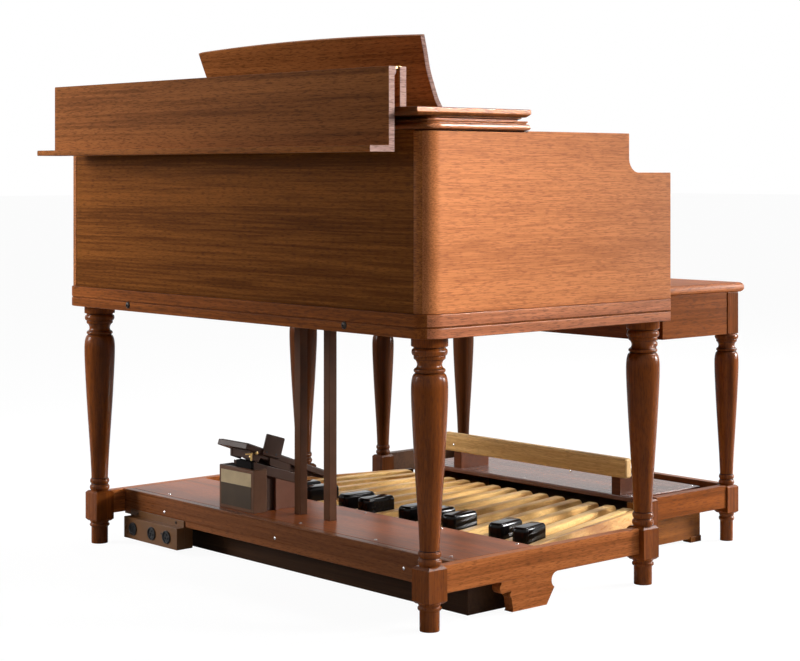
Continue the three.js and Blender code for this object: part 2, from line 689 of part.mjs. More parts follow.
// Pedalboard: a covered heel box, a beam under each end of the pedals and two side planks.
function addPedalboard() {
  const lastRay = naturalSteps * half;
  const edgeAt = (y) => lastRay * pitchAt(y) + natural.width * half + sidePlank.gap;
  const b = heelBox;
  const left = -b.halfWidth;
  const toeY = shelf.front - sidePlank.clear;
  const toeFront = toeY - toeBeam.depth;
  const heelEdge = edgeAt(heelBeam.rear);
  const outer = heelEdge + sidePlank.thick;
  const toeOuter = edgeAt(toeY) + sidePlank.thick;
  const sides = [-1, 1].map((side) => {
    const plank = [
      [side * heelEdge, heelBeam.rear],
      [side * outer, heelBeam.rear],
      [side * toeOuter, toeY],
      [side * edgeAt(toeY), toeY],
    ];
    const limits = (a, c) => [Math.min(side * a, side * c), Math.max(side * a, side * c)];
    return [
      alongZ(plank, sidePlank.bottom, sidePlank.top),
      box(...limits(edgeAt(toeFront) - toeBeam.foot, edgeAt(toeFront)), toeFront, toeY, 0, toeBeam.top),
      box(...limits(heelEdge, outer), b.rear, heelBeam.rear, heelBeam.bottom, sidePlank.top),
      box(...limits(b.halfWidth - b.side, b.halfWidth), b.front, b.rear, b.bottom, b.top),
      [b.front, b.rear - glide.length].map((y) => box(
        ...limits(b.halfWidth - glide.width, b.halfWidth + glide.proud),
        y - glide.proud, y + glide.length - glide.proud, 0, glide.height,
      )),
    ];
  });
  const frame = join(
    sides,
    box(-toeOuter + sidePlank.thick, toeOuter - sidePlank.thick, toeFront, toeY, toeBeam.bottom, toeBeam.top),
    box(-outer, outer, b.rear, heelBeam.rear, heelBeam.bottom, tongue.bottom - fit),
    box(left, -left, b.rear - b.rail, b.rear, heelBeam.bottom, tongue.bottom - fit),
    box(left, -left, b.front, b.front + b.side, b.bottom, b.top),
    box(left, -left, b.front, b.rear, b.top - b.cover, b.top),
    prop.places.map((x) => box(
      x - fan.x - prop.thick * half, x - fan.x + prop.thick * half,
      b.rear - prop.length, b.rear, b.top - overrun, footRail.bottom,
    )),
  );
  add("pedalboard_frame", frame, looks.darkWalnut).position.x = fan.x;

  const f = footRail;
  const bar = roundedRectangle(
    f.rear - f.thick, f.rear, f.bottom, f.bottom + f.height, [f.round, f.round, f.round, f.round],
  );
  add("foot_rail", alongX(bar, f.left, f.right), looks.ash);
}

// Bench: a turned end frame on each side, a tray between them and a seat that lifts.
function addBench() {
  const size = { ...bench, shoulder: benchLeg.shoulder, top: benchLeg.turnTop };
  const h = bench.block * half;
  const under = seat.top - seat.thick;
  const above = (y) => box(
    -size.shoulder, size.shoulder, y - size.shoulder, y + size.shoulder,
    benchLeg.top, benchLeg.turnTop + overrun,
  );
  const endFrame = join(
    [bench.inner, bench.outer].map((y) => [
      turnedLeg(0, y, size).subtract(above(y)),
      box(-h, h, y - h, y + h, benchLeg.top - overrun, under),
    ]),
    box(
      -h + benchRail.inset, -h + benchRail.inset + benchRail.thick, bench.outer, bench.inner,
      benchRail.bottom, benchRail.top,
    ),
  );
  add("bench_end_bass", endFrame, looks.walnut).position.x = benchLeft;
  const treble = add("bench_end_treble", endFrame, looks.walnut);
  treble.scale.set(-1, 1, 1);
  treble.position.x = benchRight;
  add(
    "bench_outer_rail",
    box(
      benchLeft + h + glueLine, benchRight - h - glueLine, bench.outer - benchRail.thick * half,
      bench.outer + benchRail.thick * half, benchRail.bottom, benchRail.top,
    ),
    looks.walnut,
  );

  // The tray's four corners are let out for the posts of the end frames.
  const x0 = benchLeft - h;
  const x1 = benchRight + h;
  const y0 = bench.outer - h;
  const y1 = bench.inner + h;
  const tray = box(x0, x1, y0, y1, benchLeg.top, under).subtract(box(
    x0 + apron.thick, x1 - apron.thick, y0 + apron.thick, y1 - apron.thick,
    benchLeg.top + apron.floor, under + overrun,
  ));
  const notches = [[x0, y0], [x0, y1], [x1, y0], [x1, y1]].map(([x, y]) => box(
    x - bench.block - glueLine, x + bench.block + glueLine,
    y - bench.block - glueLine, y + bench.block + glueLine, benchLeg.top - overrun, under + overrun,
  ));
  add("bench_tray", tray.subtract(join(notches)), looks.walnut);

  add(
    "bench_seat",
    bevelled(
      x0 - seat.overX, x1 + seat.overX, y0 - seat.overY, y1 + seat.overY, under, seat.top, seat.nose,
    ),
    looks.walnut,
  );
}

addConsoleLegs();
addBody();
addLid();
addManuals();
addLowerFrame();
addExpression();
addPedals();
addPedalboard();
addBench();

// The frame's origin is moved to the middle of the whole set's footprint on the floor.
const rearmost = flapInner + flap.thick + flap.lip;
const foremost = bench.outer - bench.block * half - seat.overY;
organ.position.y = -(rearmost + foremost) * half;

export default organ;
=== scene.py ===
import math

import bmesh
import bpy
from mathutils import Matrix, Vector


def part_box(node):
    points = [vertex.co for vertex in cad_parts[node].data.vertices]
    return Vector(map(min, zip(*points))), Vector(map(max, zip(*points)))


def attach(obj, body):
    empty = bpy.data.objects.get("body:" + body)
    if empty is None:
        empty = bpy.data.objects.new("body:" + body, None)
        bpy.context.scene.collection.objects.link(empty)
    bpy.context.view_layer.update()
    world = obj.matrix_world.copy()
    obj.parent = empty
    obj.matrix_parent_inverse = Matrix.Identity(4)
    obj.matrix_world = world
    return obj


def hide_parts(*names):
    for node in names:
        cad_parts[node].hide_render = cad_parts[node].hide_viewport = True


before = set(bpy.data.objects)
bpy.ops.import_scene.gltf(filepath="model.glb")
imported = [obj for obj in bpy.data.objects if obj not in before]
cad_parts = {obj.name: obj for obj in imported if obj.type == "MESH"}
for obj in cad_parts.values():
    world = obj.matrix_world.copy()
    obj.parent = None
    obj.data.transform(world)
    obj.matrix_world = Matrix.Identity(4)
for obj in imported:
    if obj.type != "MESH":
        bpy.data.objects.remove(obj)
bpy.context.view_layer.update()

# The organ is seen from behind its bass end, from standing height. The lens looks level,
# and the picture is shifted down, so that the uprights stay upright.
viewpoint = bpy.data.cameras.new("viewpoint")
viewpoint.sensor_width = 36
viewpoint.lens = 84.39
viewpoint.shift_y = -0.19635
viewpoint.clip_end = 200
camera = bpy.data.objects.new("viewpoint", viewpoint)
rear_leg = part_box("leg_rear_bass")
rear_leg_y = (rear_leg[0].y + rear_leg[1].y) / 2
camera.location = (-3.1396, rear_leg_y + 2.3783, 0.8546)
camera.rotation_euler = (math.pi / 2, 0, -2.3005)
bpy.context.scene.collection.objects.link(camera)
bpy.context.scene.camera = camera
bpy.context.scene.view_settings.view_transform = "Standard"


# The studio: a pale floor, a white background, and soft lamps at the bass end, behind, in
# front, low in front and above. Every node in this file is added by the first function here.
def add_node(tree, kind, inputs=None, **settings):
    made = tree.nodes.new(kind)
    for key, value in settings.items():
        setattr(made, key, value)
    for key, value in (inputs or {}).items():
        if isinstance(value, bpy.types.NodeSocket):
            tree.links.new(value, made.inputs[key])
        else:
            made.inputs[key].default_value = value
    return made


def maths(tree, operation, *values):
    return add_node(tree, "ShaderNodeMath", dict(enumerate(values)), operation=operation).outputs[0]


def new_material(name):
    made = bpy.data.materials.new(name)
    made.use_nodes = True
    made.node_tree.nodes.clear()
    return made, made.node_tree


def surface(tree, shader):
    add_node(tree, "ShaderNodeOutputMaterial", {"Surface": shader.outputs[0]})


def soft_lamp(name, place, target, width, height, power, spread=180):
    lamp = bpy.data.lights.new(name, "AREA")
    lamp.shape = "RECTANGLE"
    lamp.size = width
    lamp.size_y = height
    lamp.energy = power
    lamp.spread = math.radians(spread)
    holder = bpy.data.objects.new(name, lamp)
    holder.location = place
    holder.rotation_euler = (Vector(target) - Vector(place)).to_track_quat("-Z", "Y").to_euler()
    bpy.context.scene.collection.objects.link(holder)


soft_lamp("bass_end_lamp", (-3.2, -1.7, 2.0), (-0.6, 1.5, 0.85), 1.0, 1.2, 23, spread=39)
soft_lamp("rear_lamp", (2.4, 2.6, 1.5), (1.4, 0.5, 0.7), 1.2, 1.2, 20, spread=64)
soft_lamp("front_lamp", (-0.9, -3.4, 3.4), (0, -0.5, 0.1), 2.4, 1.6, 185)
soft_lamp("low_lamp", (-2.0, -3.6, 1.1), (-0.1, -0.6, 0.1), 0.9, 0.9, 17, spread=36)
soft_lamp("ceiling_lamp", (-0.4, 0.1, 4.6), (0, 0, 0.4), 3.0, 3.0, 34)

world = bpy.data.worlds.new("studio")
world.use_nodes = True
bpy.context.scene.world = world
sky = world.node_tree
sky.nodes.clear()
ray = add_node(sky, "ShaderNodeLightPath")
seen = maths(sky, "MAXIMUM", ray.outputs["Is Camera Ray"], ray.outputs["Is Transmission Ray"])
mirrored = maths(sky, "MAXIMUM", seen, ray.outputs["Is Glossy Ray"])
room = add_node(sky, "ShaderNodeBackground", {"Color": (0.95, 0.97, 1, 1), "Strength": 0.11})
white = add_node(sky, "ShaderNodeBackground", {"Color": (1, 1, 1, 1), "Strength": 1})
mixed = add_node(sky, "ShaderNodeMixShader", {0: mirrored, 1: room.outputs[0], 2: white.outputs[0]})
add_node(sky, "ShaderNodeOutputWorld", {"Surface": mixed.outputs[0]})

floor_finish, tree = new_material("pale_floor")
ray = add_node(tree, "ShaderNodeLightPath")
share = maths(tree, "MULTIPLY", ray.outputs["Is Camera Ray"], 0.86)
matt = add_node(tree, "ShaderNodeBsdfPrincipled", {"Base Color": (0.6, 0.6, 0.6, 1), "Roughness": 0.9})
glow = add_node(tree, "ShaderNodeEmission", {"Color": (1, 1, 1, 1), "Strength": 1.1})
surface(tree, add_node(tree, "ShaderNodeMixShader", {0: share, 1: matt.outputs[0], 2: glow.outputs[0]}))
floor_reach = 60
floor_mesh = bpy.data.meshes.new("studio_floor")
floor_mesh.from_pydata(
    [(-floor_reach, -floor_reach, 0), (floor_reach, -floor_reach, 0), (floor_reach, floor_reach, 0),
     (-floor_reach, floor_reach, 0)], [], [(0, 1, 2, 3)],
)
floor_mesh.materials.append(floor_finish)
floor = bpy.data.objects.new("studio_floor", floor_mesh)
bpy.context.scene.collection.objects.link(floor)

# Four turned legs of walnut carry the console. Each is turned from one square, which is
# left whole where the rails are joined to it. All shapes are made in millimetres, with
# y zero at the rear legs' axes.
to_row = Matrix.Translation((0, rear_leg_y, 0)) @ Matrix.Scale(0.001, 4)
from_row = to_row.inverted()


def cad_limits(node):
    low, high = (from_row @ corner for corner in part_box(node))
    return low.x, high.x, low.y, high.y, low.z, high.z


def add_rings(shape, rings):
    """A closed skin through rings of corners, capped at both ends."""
    rows = [[shape.verts.new(corner) for corner in ring] for ring in rings]
    count = len(rows[0])
    for below, above in zip(rows, rows[1:]):
        for i in range(count):
            j = (i + 1) % count
            shape.faces.new((below[i], below[j], above[j], above[i]))
    shape.faces.new(list(reversed(rows[0])))
    shape.faces.new(rows[-1])


def add_block(shape, x0, x1, y0, y1, z0, z1, chamfer=0):
    def ring(inset, z):
        return [
            (x0 + inset, y0 + inset, z), (x1 - inset, y0 + inset, z),
            (x1 - inset, y1 - inset, z), (x0 + inset, y1 - inset, z),
        ]
    if chamfer:
        add_rings(shape, [ring(chamfer, z0), ring(0, z0 + chamfer), ring(0, z1 - chamfer), ring(chamfer, z1)])
    else:
        add_rings(shape, [ring(0, z0), ring(0, z1)])


def smooth_profile(points, steps):
    """Corners of a curve that runs smoothly through the points."""
    ends = [points[0]] + list(points) + [points[-1]]
    made = []
    for a, b, c, d in zip(ends, ends[1:], ends[2:], ends[3:]):
        for i in range(steps):
            t = i / steps
            made.append(tuple(
                (
                    (2 * q) + (r - p) * t + (2 * p - 5 * q + 4 * r - s) * t ** 2
                    + (3 * q - p - 3 * r + s) * t ** 3
                ) / 2
                for p, q, r, s in zip(a, b, c, d)
            ))
    return made + [points[-1]]


def add_turning(shape, profile, x, y, facets=48):
    turns = [2 * math.pi * i / facets for i in range(facets)]
    add_rings(shape, [
        [(x + radius * math.cos(turn), y + radius * math.sin(turn), z) for turn in turns]
        for radius, z in profile
    ])


# The turning, one list to a bead or cove: (share of the height, share of the shoulder's radius).
leg_foot_beads = [(0, 0.5), (0.015, 0.52), (0.05, 0.54), (0.64, 0.545), (0.68, 0.56), (0.7, 0.6)]
leg_foot_ring = [
    (0.7, 0.6), (0.73, 0.645), (0.79, 0.645), (0.82, 0.6), (0.86, 0.585), (0.9, 0.63), (0.96, 0.645),
    (1, 0.6),
]
leg_rings = [
    [(0, 0.5), (0.004, 0.57), (0.012, 0.575), (0.016, 0.585)],
    [(0.016, 0.585), (0.0205, 0.635), (0.028, 0.652), (0.0365, 0.635), (0.0425, 0.575)],
    [(0.0425, 0.575), (0.0465, 0.557), (0.051, 0.575)],
    [(0.051, 0.575), (0.055, 0.617), (0.063, 0.632), (0.071, 0.612), (0.0755, 0.56)],
    [(0.0755, 0.56), (0.08, 0.545), (0.15, 0.583), (0.22, 0.629), (0.36, 0.743), (0.511, 0.862),
     (0.651, 0.954), (0.72, 0.99), (0.765, 1.0), (0.795, 0.99), (0.82, 0.95), (0.835, 0.885), (0.8425, 0.8)],
    [(0.8425, 0.8), (0.8435, 0.765), (0.8455, 0.765), (0.847, 0.8)],
    [(0.847, 0.8), (0.8495, 0.842), (0.855, 0.858), (0.8605, 0.84), (0.863, 0.79)],
    [(0.863, 0.79), (0.869, 0.715), (0.88, 0.672), (0.893, 0.712), (0.9035, 0.79)],
    [(0.9035, 0.79), (0.905, 0.848), (0.9165, 0.862), (0.9195, 0.845)],
    [(0.9195, 0.845), (0.9225, 0.93), (0.934, 0.972), (0.9455, 0.945), (0.949, 0.88)],
    [(0.949, 0.88), (0.9535, 0.855), (0.957, 0.88), (0.9595, 0.985), (0.968, 1.0), (1.02, 1.0)],
]


def leg_profile(parts, low, high, shoulder, cut):
    made = []
    for part in parts:
        made += [(r * shoulder, low + share * (high - low)) for share, r in smooth_profile(part, 4)]
    kept = [made[0]]
    for point in made[1:]:
        if math.dist(point, kept[-1]) > 0.05 and point[1] < cut:
            kept.append(point)
    return kept


block_chamfer_share = 0.1


def add_leg(shape, x, y, shoulder, block, block_low, block_high, top, cut=math.inf):
    half = block / 2
    sink = block * block_chamfer_share
    add_block(shape, x - half, x + half, y - half, y + half, block_low, block_high, sink)
    add_turning(shape, leg_profile([leg_foot_beads, leg_foot_ring], 0, block_low + sink, shoulder, cut), x, y)
    add_turning(shape, leg_profile(leg_rings, block_high - sink, top, shoulder, cut), x, y)


def wood_grain_group():
    """Streaks, broad figure and open pores, from coordinates that are drawn out along the grain."""
    tree = bpy.data.node_groups.new("wood_grain", "ShaderNodeTree")
    for name, kind in (
        ("Vector", "NodeSocketVector"), ("Pore Vector", "NodeSocketVector"), ("Light", "NodeSocketColor"),
        ("Dark", "NodeSocketColor"), ("Pore Colour", "NodeSocketColor"), ("Figure", "NodeSocketFloat"),
        ("Pores", "NodeSocketFloat"), ("Fineness", "NodeSocketFloat"), ("Dullness", "NodeSocketFloat"),
    ):
        tree.interface.new_socket(name=name, in_out="INPUT", socket_type=kind)
    for name, kind in (
        ("Color", "NodeSocketColor"), ("Roughness", "NodeSocketFloat"), ("Height", "NodeSocketFloat"),
    ):
        tree.interface.new_socket(name=name, in_out="OUTPUT", socket_type=kind)
    given = add_node(tree, "NodeGroupInput").outputs
    broad = add_node(
        tree, "ShaderNodeTexNoise",
        {"Vector": given["Vector"], "Scale": 15, "Detail": 4, "Roughness": 0.55, "Distortion": 0.35},
    )
    line_scale = maths(tree, "MULTIPLY", given["Fineness"], 150)
    streak = add_node(
        tree, "ShaderNodeTexNoise",
        {"Vector": given["Vector"], "Scale": line_scale, "Detail": 5, "Roughness": 0.66, "Distortion": 0.1},
    )
    dash = add_node(
        tree, "ShaderNodeTexNoise",
        {"Vector": given["Pore Vector"], "Scale": 560, "Detail": 2, "Roughness": 0.5},
    )
    both = add_node(tree, "ShaderNodeMix", {
        "Factor": given["Figure"], "A": streak.outputs["Fac"], "B": broad.outputs["Fac"],
    })
    shade = add_node(
        tree, "ShaderNodeMapRange", {"Value": both.outputs["Result"], "From Min": 0.39, "From Max": 0.61},
        interpolation_type="SMOOTHSTEP",
    )
    tone = add_node(
        tree, "ShaderNodeMix", {"Factor": shade.outputs[0], 6: given["Dark"], 7: given["Light"]},
        data_type="RGBA",
    )
    open_pore = add_node(tree, "ShaderNodeMapRange", {
        "Value": dash.outputs["Fac"], "From Min": 0.51, "From Max": 0.63,
    })
    shown = maths(tree, "MULTIPLY", open_pore.outputs[0], given["Pores"])
    pored = add_node(
        tree, "ShaderNodeMix", {"Factor": shown, 6: tone.outputs[2], 7: given["Pore Colour"]},
        data_type="RGBA",
    )
    waver = add_node(tree, "ShaderNodeMapRange", {
        "Value": streak.outputs["Fac"], "To Min": 0.8, "To Max": 1.25,
    })
    add_node(tree, "NodeGroupOutput", {
        "Color": pored.outputs[2], "Roughness": maths(tree, "MULTIPLY", waver.outputs[0], given["Dullness"]),
        "Height": maths(tree, "SUBTRACT", 1.0, shown),
    })
    return tree


wood_grain = wood_grain_group()


def wood(
    name, grain, light, dark, pore=(0.05, 0.018, 0.008), figure=0.5, pores=0.45, fineness=1.0, dullness=0.3,
    shine=0.08, shift=(0, 0, 0),
):
    """Polished wood whose grain runs along one axis: x, y or z."""
    made, tree = new_material(name)
    place = add_node(tree, "ShaderNodeTexCoord").outputs["Object"]
    axis = "xyz".index(grain)
    streaks, dashes = ([drawn if i == axis else 1 for i in range(3)] for drawn in (0.02, 0.1))
    grain_node = add_node(tree, "ShaderNodeGroup", {}, node_tree=wood_grain)
    for socket, stretch in (("Vector", streaks), ("Pore Vector", dashes)):
        mapping = add_node(tree, "ShaderNodeMapping", {"Vector": place, "Scale": stretch, "Location": shift})
        tree.links.new(mapping.outputs[0], grain_node.inputs[socket])
    for socket, value in (
        ("Light", (*light, 1)), ("Dark", (*dark, 1)), ("Pore Colour", (*pore, 1)), ("Figure", figure),
        ("Pores", pores), ("Fineness", fineness), ("Dullness", dullness),
    ):
        grain_node.inputs[socket].default_value = value
    relief = add_node(
        tree, "ShaderNodeBump", {"Height": grain_node.outputs["Height"], "Strength": 0.12, "Distance": 0.0004}
    )
    surface(tree, add_node(tree, "ShaderNodeBsdfPrincipled", {
        "Base Color": grain_node.outputs["Color"], "Roughness": grain_node.outputs["Roughness"],
        "Normal": relief.outputs[0], "Specular IOR Level": shine,
    }))
    return made


def piece(name, shape, finish, body, slot, nodes=(), bevel=0.0, segments=2, ends=None, angle=32):
    """One finished piece, in its place. ends is an axis and the finish of the faces square to it."""
    if isinstance(shape, bmesh.types.BMesh):
        bmesh.ops.recalc_face_normals(shape, faces=shape.faces)
        mesh = bpy.data.meshes.new(name)
        shape.to_mesh(mesh)
        shape.free()
    else:
        mesh = shape
        mesh.name = name
    mesh.transform(to_row)
    mesh.shade_smooth()
    mesh.set_sharp_from_angle(angle=math.radians(angle))
    if finish:
        mesh.materials.clear()
        mesh.materials.append(finish)
    if ends:
        axis, end_finish = ends
        mesh.materials.append(end_finish)
        for polygon in mesh.polygons:
            if abs(polygon.normal["xyz".index(axis)]) > 0.94:
                polygon.material_index = 1
    made = bpy.data.objects.new(name, mesh)
    bpy.context.scene.collection.objects.link(made)
    if bevel:
        rounding = made.modifiers.new("rounding", "BEVEL")
        rounding.width = bevel * 0.001
        rounding.segments = segments
        rounding.limit_method = "ANGLE"
        rounding.angle_limit = math.radians(angle)
        rounding.harden_normals = True
    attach(made, body)
    if nodes:
        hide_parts(*nodes)
    return made


def board(name, limits, finish, body, slot, **kept):
    """A plain squared piece, from its limits in x, y and z."""
    shape = bmesh.new()
    add_block(shape, *limits)
    return piece(name, shape, finish, body, slot, **kept)


# Thin near-black rings sit in the quirks between the beads: painted shade in the turning's grooves. These
# are given like the turning: (share of the height, share of the shoulder's radius).
ring_quirks = (
    (0.0465, 0.557), (0.0775, 0.55), (0.8445, 0.765), (0.862, 0.8), (0.904, 0.8), (0.9205, 0.845),
    (0.9535, 0.855),
)
quirk_high = 0.9
quirk_proud = 0.45


def add_quirks(shape, x, y, shoulder, block, block_low, block_high, top, cut=math.inf):
    low = block_high - block * block_chamfer_share
    for share, r in ring_quirks:
        z = low + share * (top - low)
        if z < cut - 2:
            radius = r * shoulder
            turned = [(radius, z - quirk_high), (radius + quirk_proud, z), (radius, z + quirk_high)]
            add_turning(shape, turned, x, y)


walnut_upright = wood(
    "walnut_turned", "z", (0.22, 0.056, 0.009), (0.11, 0.028, 0.0045), dullness=0.19, shine=0.11,
)
# A darker copy of the turned walnut is painted shade on legs that stand in shadow: the console's front treble
# leg, and the bench's treble legs and posts.
walnut_painted_shade = wood(
    "walnut_turned_painted_shade", "z", (0.08, 0.023, 0.006), (0.04, 0.012, 0.003), dullness=0.2, shine=0.07,
)
# Near black: the painted shade in the quirks.
quirk_painted_shade = wood("quirk_painted_shade", "z", (0.03, 0.009, 0.004), (0.015, 0.005, 0.002), dullness=0.5, shine=0.1)
leg_size = {"shoulder": 35, "block": 47, "block_low": 51, "block_high": 121, "top": 549.4}
leg_out, leg_front_y = 563.4, -604.9
for end, y in (("rear", 0), ("front", leg_front_y)):
    for side, x in (("bass", -leg_out), ("treble", leg_out)):
        shape = bmesh.new()
        add_leg(shape, x, y, **leg_size)
        # The front treble leg takes the darker walnut as painted shade.
        finish = walnut_painted_shade if (end, side) == ("front", "treble") else walnut_upright
        piece(
            f"turned_leg_{end}_{side}", shape, finish, "console", "walnut", nodes=[f"leg_{end}_{side}"],
            bevel=0.9, angle=38,
        )
        shape = bmesh.new()
        add_quirks(shape, x, y, **leg_size)
        piece(f"leg_quirks_{end}_{side}", shape, quirk_painted_shade, "console", "walnut")

# The body stands on a walnut band that runs round all four sides, with a groove along
# its middle. Its rear corners are rounded, and two dark bolt heads show at the back.
def arc(cx, cy, radius, start, end, steps=12):
    made = []
    for i in range(steps + 1):
        turn = math.radians(start + (end - start) * i / steps)
        made.append((cx + radius * math.cos(turn), cy + radius * math.sin(turn)))
    return made


def rounded_plan(x0, x1, y0, y1, corner, inset=0):
    """A rectangle whose two rear corners are rounded."""
    left, right, front, rear = x0 + inset, x1 - inset, y0 + inset, y1 - inset
    reach = max(corner - inset, 1)
    return (
        [(left, front), (right, front)]
        + arc(right - reach, rear - reach, reach, 0, 90)
        + arc(left + reach, rear - reach, reach, 90, 180)
    )


def add_upright(shape, plan, z0, z1):
    add_rings(shape, [[(x, y, z0) for x, y in plan], [(x, y, z1) for x, y in plan]])


band_left, band_right, band_front, band_rear, band_low, band_high = cad_limits("base_frame")
groove_low = band_low + 20
groove_high = groove_low + 1.8
band_corner = 41
# The band's front and back take a darker copy of its walnut, painted shade, and its ends a lighter one,
# painted light.
walnut_band = wood(
    "walnut_band", "x", (0.34, 0.1, 0.021), (0.18, 0.049, 0.01), figure=0.5, pores=0.5, dullness=0.35,
    shine=0.04,
)
walnut_band_side = wood(
    "walnut_band_side", "y", (0.55, 0.192, 0.08), (0.35, 0.112, 0.045), figure=0.4, pores=0.5, dullness=0.3,
    shine=0.25,
)


def side_faces_painted_light(made, side_finish, squareness=0.72):
    """Boards whose grain turns the corner: faces square to X get the side's finish, a lighter copy of the
    same walnut that paints light on the ends.
    """
    made.data.materials.append(side_finish)
    for polygon in made.data.polygons:
        if abs(polygon.normal.x) > squareness:
            polygon.material_index = 1


# Near-black wood for the strip set back under the deck: a painted shadow line.
deck_shadow_black = wood("deck_shadow_black", "x", (0.02, 0.007, 0.004), (0.01, 0.004, 0.002), dullness=0.6, shine=0.02)
# The groove's lining is a darker walnut: painted shade in the groove.
groove_painted_shade = wood("groove_painted_shade", "x", (0.2, 0.06, 0.018), (0.12, 0.034, 0.01), dullness=0.5, shine=0.02)
for name, low, high, inset in (
    ("lower_band", band_low, groove_low, 0), ("band_groove", groove_low - 1, groove_high + 1, 1.6),
    ("upper_band", groove_high, band_high, 0),
):
    shape = bmesh.new()
    plan = rounded_plan(band_left, band_right, band_front, band_rear, band_corner, inset)
    add_upright(shape, plan, low, high)
    made = piece(
        name, shape, groove_painted_shade if inset else walnut_band, "console", "walnut",
        nodes=["base_frame"] if name == "lower_band" else (), bevel=0 if inset else 2, segments=3,
    )
    if not inset:
        side_faces_painted_light(made, walnut_band_side)

# The two cheeks close the ends. A cove steps each one down beside the keys, and its rear
# corner is a solid post rounded on the outside. The rear board is let in between them.
def add_side_outline(shape, outline, x0, x1):
    add_rings(shape, [[(x0, y, z) for y, z in outline], [(x1, y, z) for y, z in outline]])


def round_edges(shape, radius, steps, chosen):
    edges = [edge for edge in shape.edges if chosen(edge.verts[0].co, edge.verts[1].co)]
    bmesh.ops.bevel(shape, geom=edges, offset=radius, segments=steps, profile=0.5, affect="EDGES")


cheek_left, cheek_right, cheek_front, cheek_rear, cheek_low, cheek_high = cad_limits("bass_side")
step_top = 856.5
joint_high = 2.4
deck_under = cad_limits("top_deck")[2] + 4
step_face = -503.8
cove = 30
cheek_corner = 35
cheek_outline = (
    [(cheek_front, cheek_low), (cheek_rear, cheek_low), (cheek_rear, cheek_high - joint_high),
     (deck_under, cheek_high - joint_high), (deck_under, cheek_high), (step_face, cheek_high)]
    + arc(step_face - cove, step_top + cove, cove, 0, -90, 10)
    + [(cheek_front, step_top)]
)
# The cheek's flat outer face takes a lighter walnut than its rounded rear post and edges. The post's grain
# runs across, and its darker tone is also painted shade where the corner turns from the light.
walnut_cheek = wood(
    "walnut_cheek", "y", (0.58, 0.205, 0.07), (0.4, 0.132, 0.042), pore=(0.2, 0.058, 0.022), figure=0.3,
    pores=0.5, fineness=2.6, dullness=0.42, shine=0.08,
)
walnut_post = wood(
    "walnut_post", "x", (0.46, 0.155, 0.035), (0.28, 0.085, 0.019), pore=(0.12, 0.034, 0.012), figure=0.3,
    pores=0.7, fineness=1.8, dullness=0.36, shine=0.12,
)
for name, outer, inner in (("bass", cheek_left, cheek_right), ("treble", -cheek_left, -cheek_right)):
    shape = bmesh.new()
    add_side_outline(shape, cheek_outline, min(outer, inner), max(outer, inner))
    round_edges(
        shape, cheek_corner, 12,
        lambda a, b: abs(a.x - outer) < 0.01 and abs(b.x - outer) < 0.01
        and abs(a.y - cheek_rear) < 0.01 and abs(b.y - cheek_rear) < 0.01,
    )
    made = piece(f"{name}_cheek", shape, walnut_post, "console", "walnut", nodes=[f"{name}_side"], bevel=1.2)
    side_faces_painted_light(made, walnut_cheek, 0.5)

panel_left, panel_right, panel_front, panel_rear, panel_low, panel_high = cad_limits("rear_panel")
# The rear board's walnut is much darker than the cheeks': painted shade on the back. The key slip, key beds
# and drawbar board share it.
walnut_rear = wood(
    "walnut_rear", "x", (0.26, 0.086, 0.017), (0.12, 0.037, 0.007), pore=(0.05, 0.016, 0.005), figure=0.4,
    pores=0.5, fineness=1.3, dullness=0.4, shine=0.015, shift=(0.3, 0, 0.7),
)
board(
    "rear_board", (panel_left + 0.5, panel_right - 0.5, panel_front, panel_rear - 0.4, panel_low, panel_high),
    walnut_rear, "console", "walnut", nodes=["rear_panel"], bevel=0.8,
)
board(
    "key_slip_board", cad_limits("key_slip"), walnut_rear, "console", "walnut", nodes=["key_slip"], bevel=2.5,
    segments=3,
)

# The deck is a board with a moulded edge that overhangs the body. A narrower strip on it
# keeps the open lid clear of the moulding, with a shadow line between the two.
deck_left, deck_right, deck_front, deck_rear, deck_low, deck_high = cad_limits("top_deck")
# The deck's and lid's front and back faces take a darker copy of the walnut, painted shade on edges in
# shadow; their ends take a lighter copy, painted light.
walnut_deck = wood(
    "walnut_deck", "x", (0.28, 0.09, 0.025), (0.15, 0.046, 0.013), figure=0.55, pores=0.4, dullness=0.35,
    shine=0.03,
)
walnut_deck_side = wood(
    "walnut_deck_side", "y", (0.6, 0.21, 0.075), (0.4, 0.13, 0.045), figure=0.5, pores=0.5, dullness=0.25,
    shine=0.5,
)


def add_moulded(shape, x0, x1, y0, y1, steps, corner=1):
    """A board whose edge is given by steps of (inset, height)."""
    add_rings(shape, [
        [(x, y, z) for x, y in rounded_plan(x0, x1, y0, y1, corner, inset)] for inset, z in steps
    ])


board_top = deck_low + 19
rounded_nose = [
    (5.5 - 5.5 * math.cos(turn), deck_low + 6.8 + 5.8 * math.sin(turn))
    for turn in map(math.radians, range(-75, 76, 15))
]
moulding = [(8, deck_low)] + rounded_nose + [
    (6.6, deck_low + 13.2), (6.2, deck_low + 15.2), (4, deck_low + 16.2), (3.6, board_top - 1.2),
    (4.8, board_top),
]
strip = [
    (6, board_top - 0.3), (6, board_top + 2.6), (1.2, board_top + 4.6), (0, deck_high - 1.6), (1, deck_high),
]
strip_in = 12
shape = bmesh.new()
add_moulded(shape, deck_left, deck_right, deck_front, deck_rear, moulding, band_corner)
add_moulded(
    shape, deck_left + strip_in, deck_right - strip_in, deck_front + strip_in, deck_rear - strip_in, strip,
    band_corner - strip_in,
)
side_faces_painted_light(
    piece("deck_moulding", shape, walnut_deck, "console", "walnut", nodes=["top_deck"], bevel=0.6, angle=25),
    walnut_deck_side,
)
# A strip set back under the deck's overhang is near black: a painted shadow line below the moulding.
joint_plan = rounded_plan(cheek_left, -cheek_left, deck_under, cheek_rear, cheek_corner, 5)
shape = bmesh.new()
add_upright(shape, joint_plan, cheek_high - joint_high - 0.2, deck_low + 0.2)
piece("deck_joint", shape, deck_shadow_black, "console", "walnut")

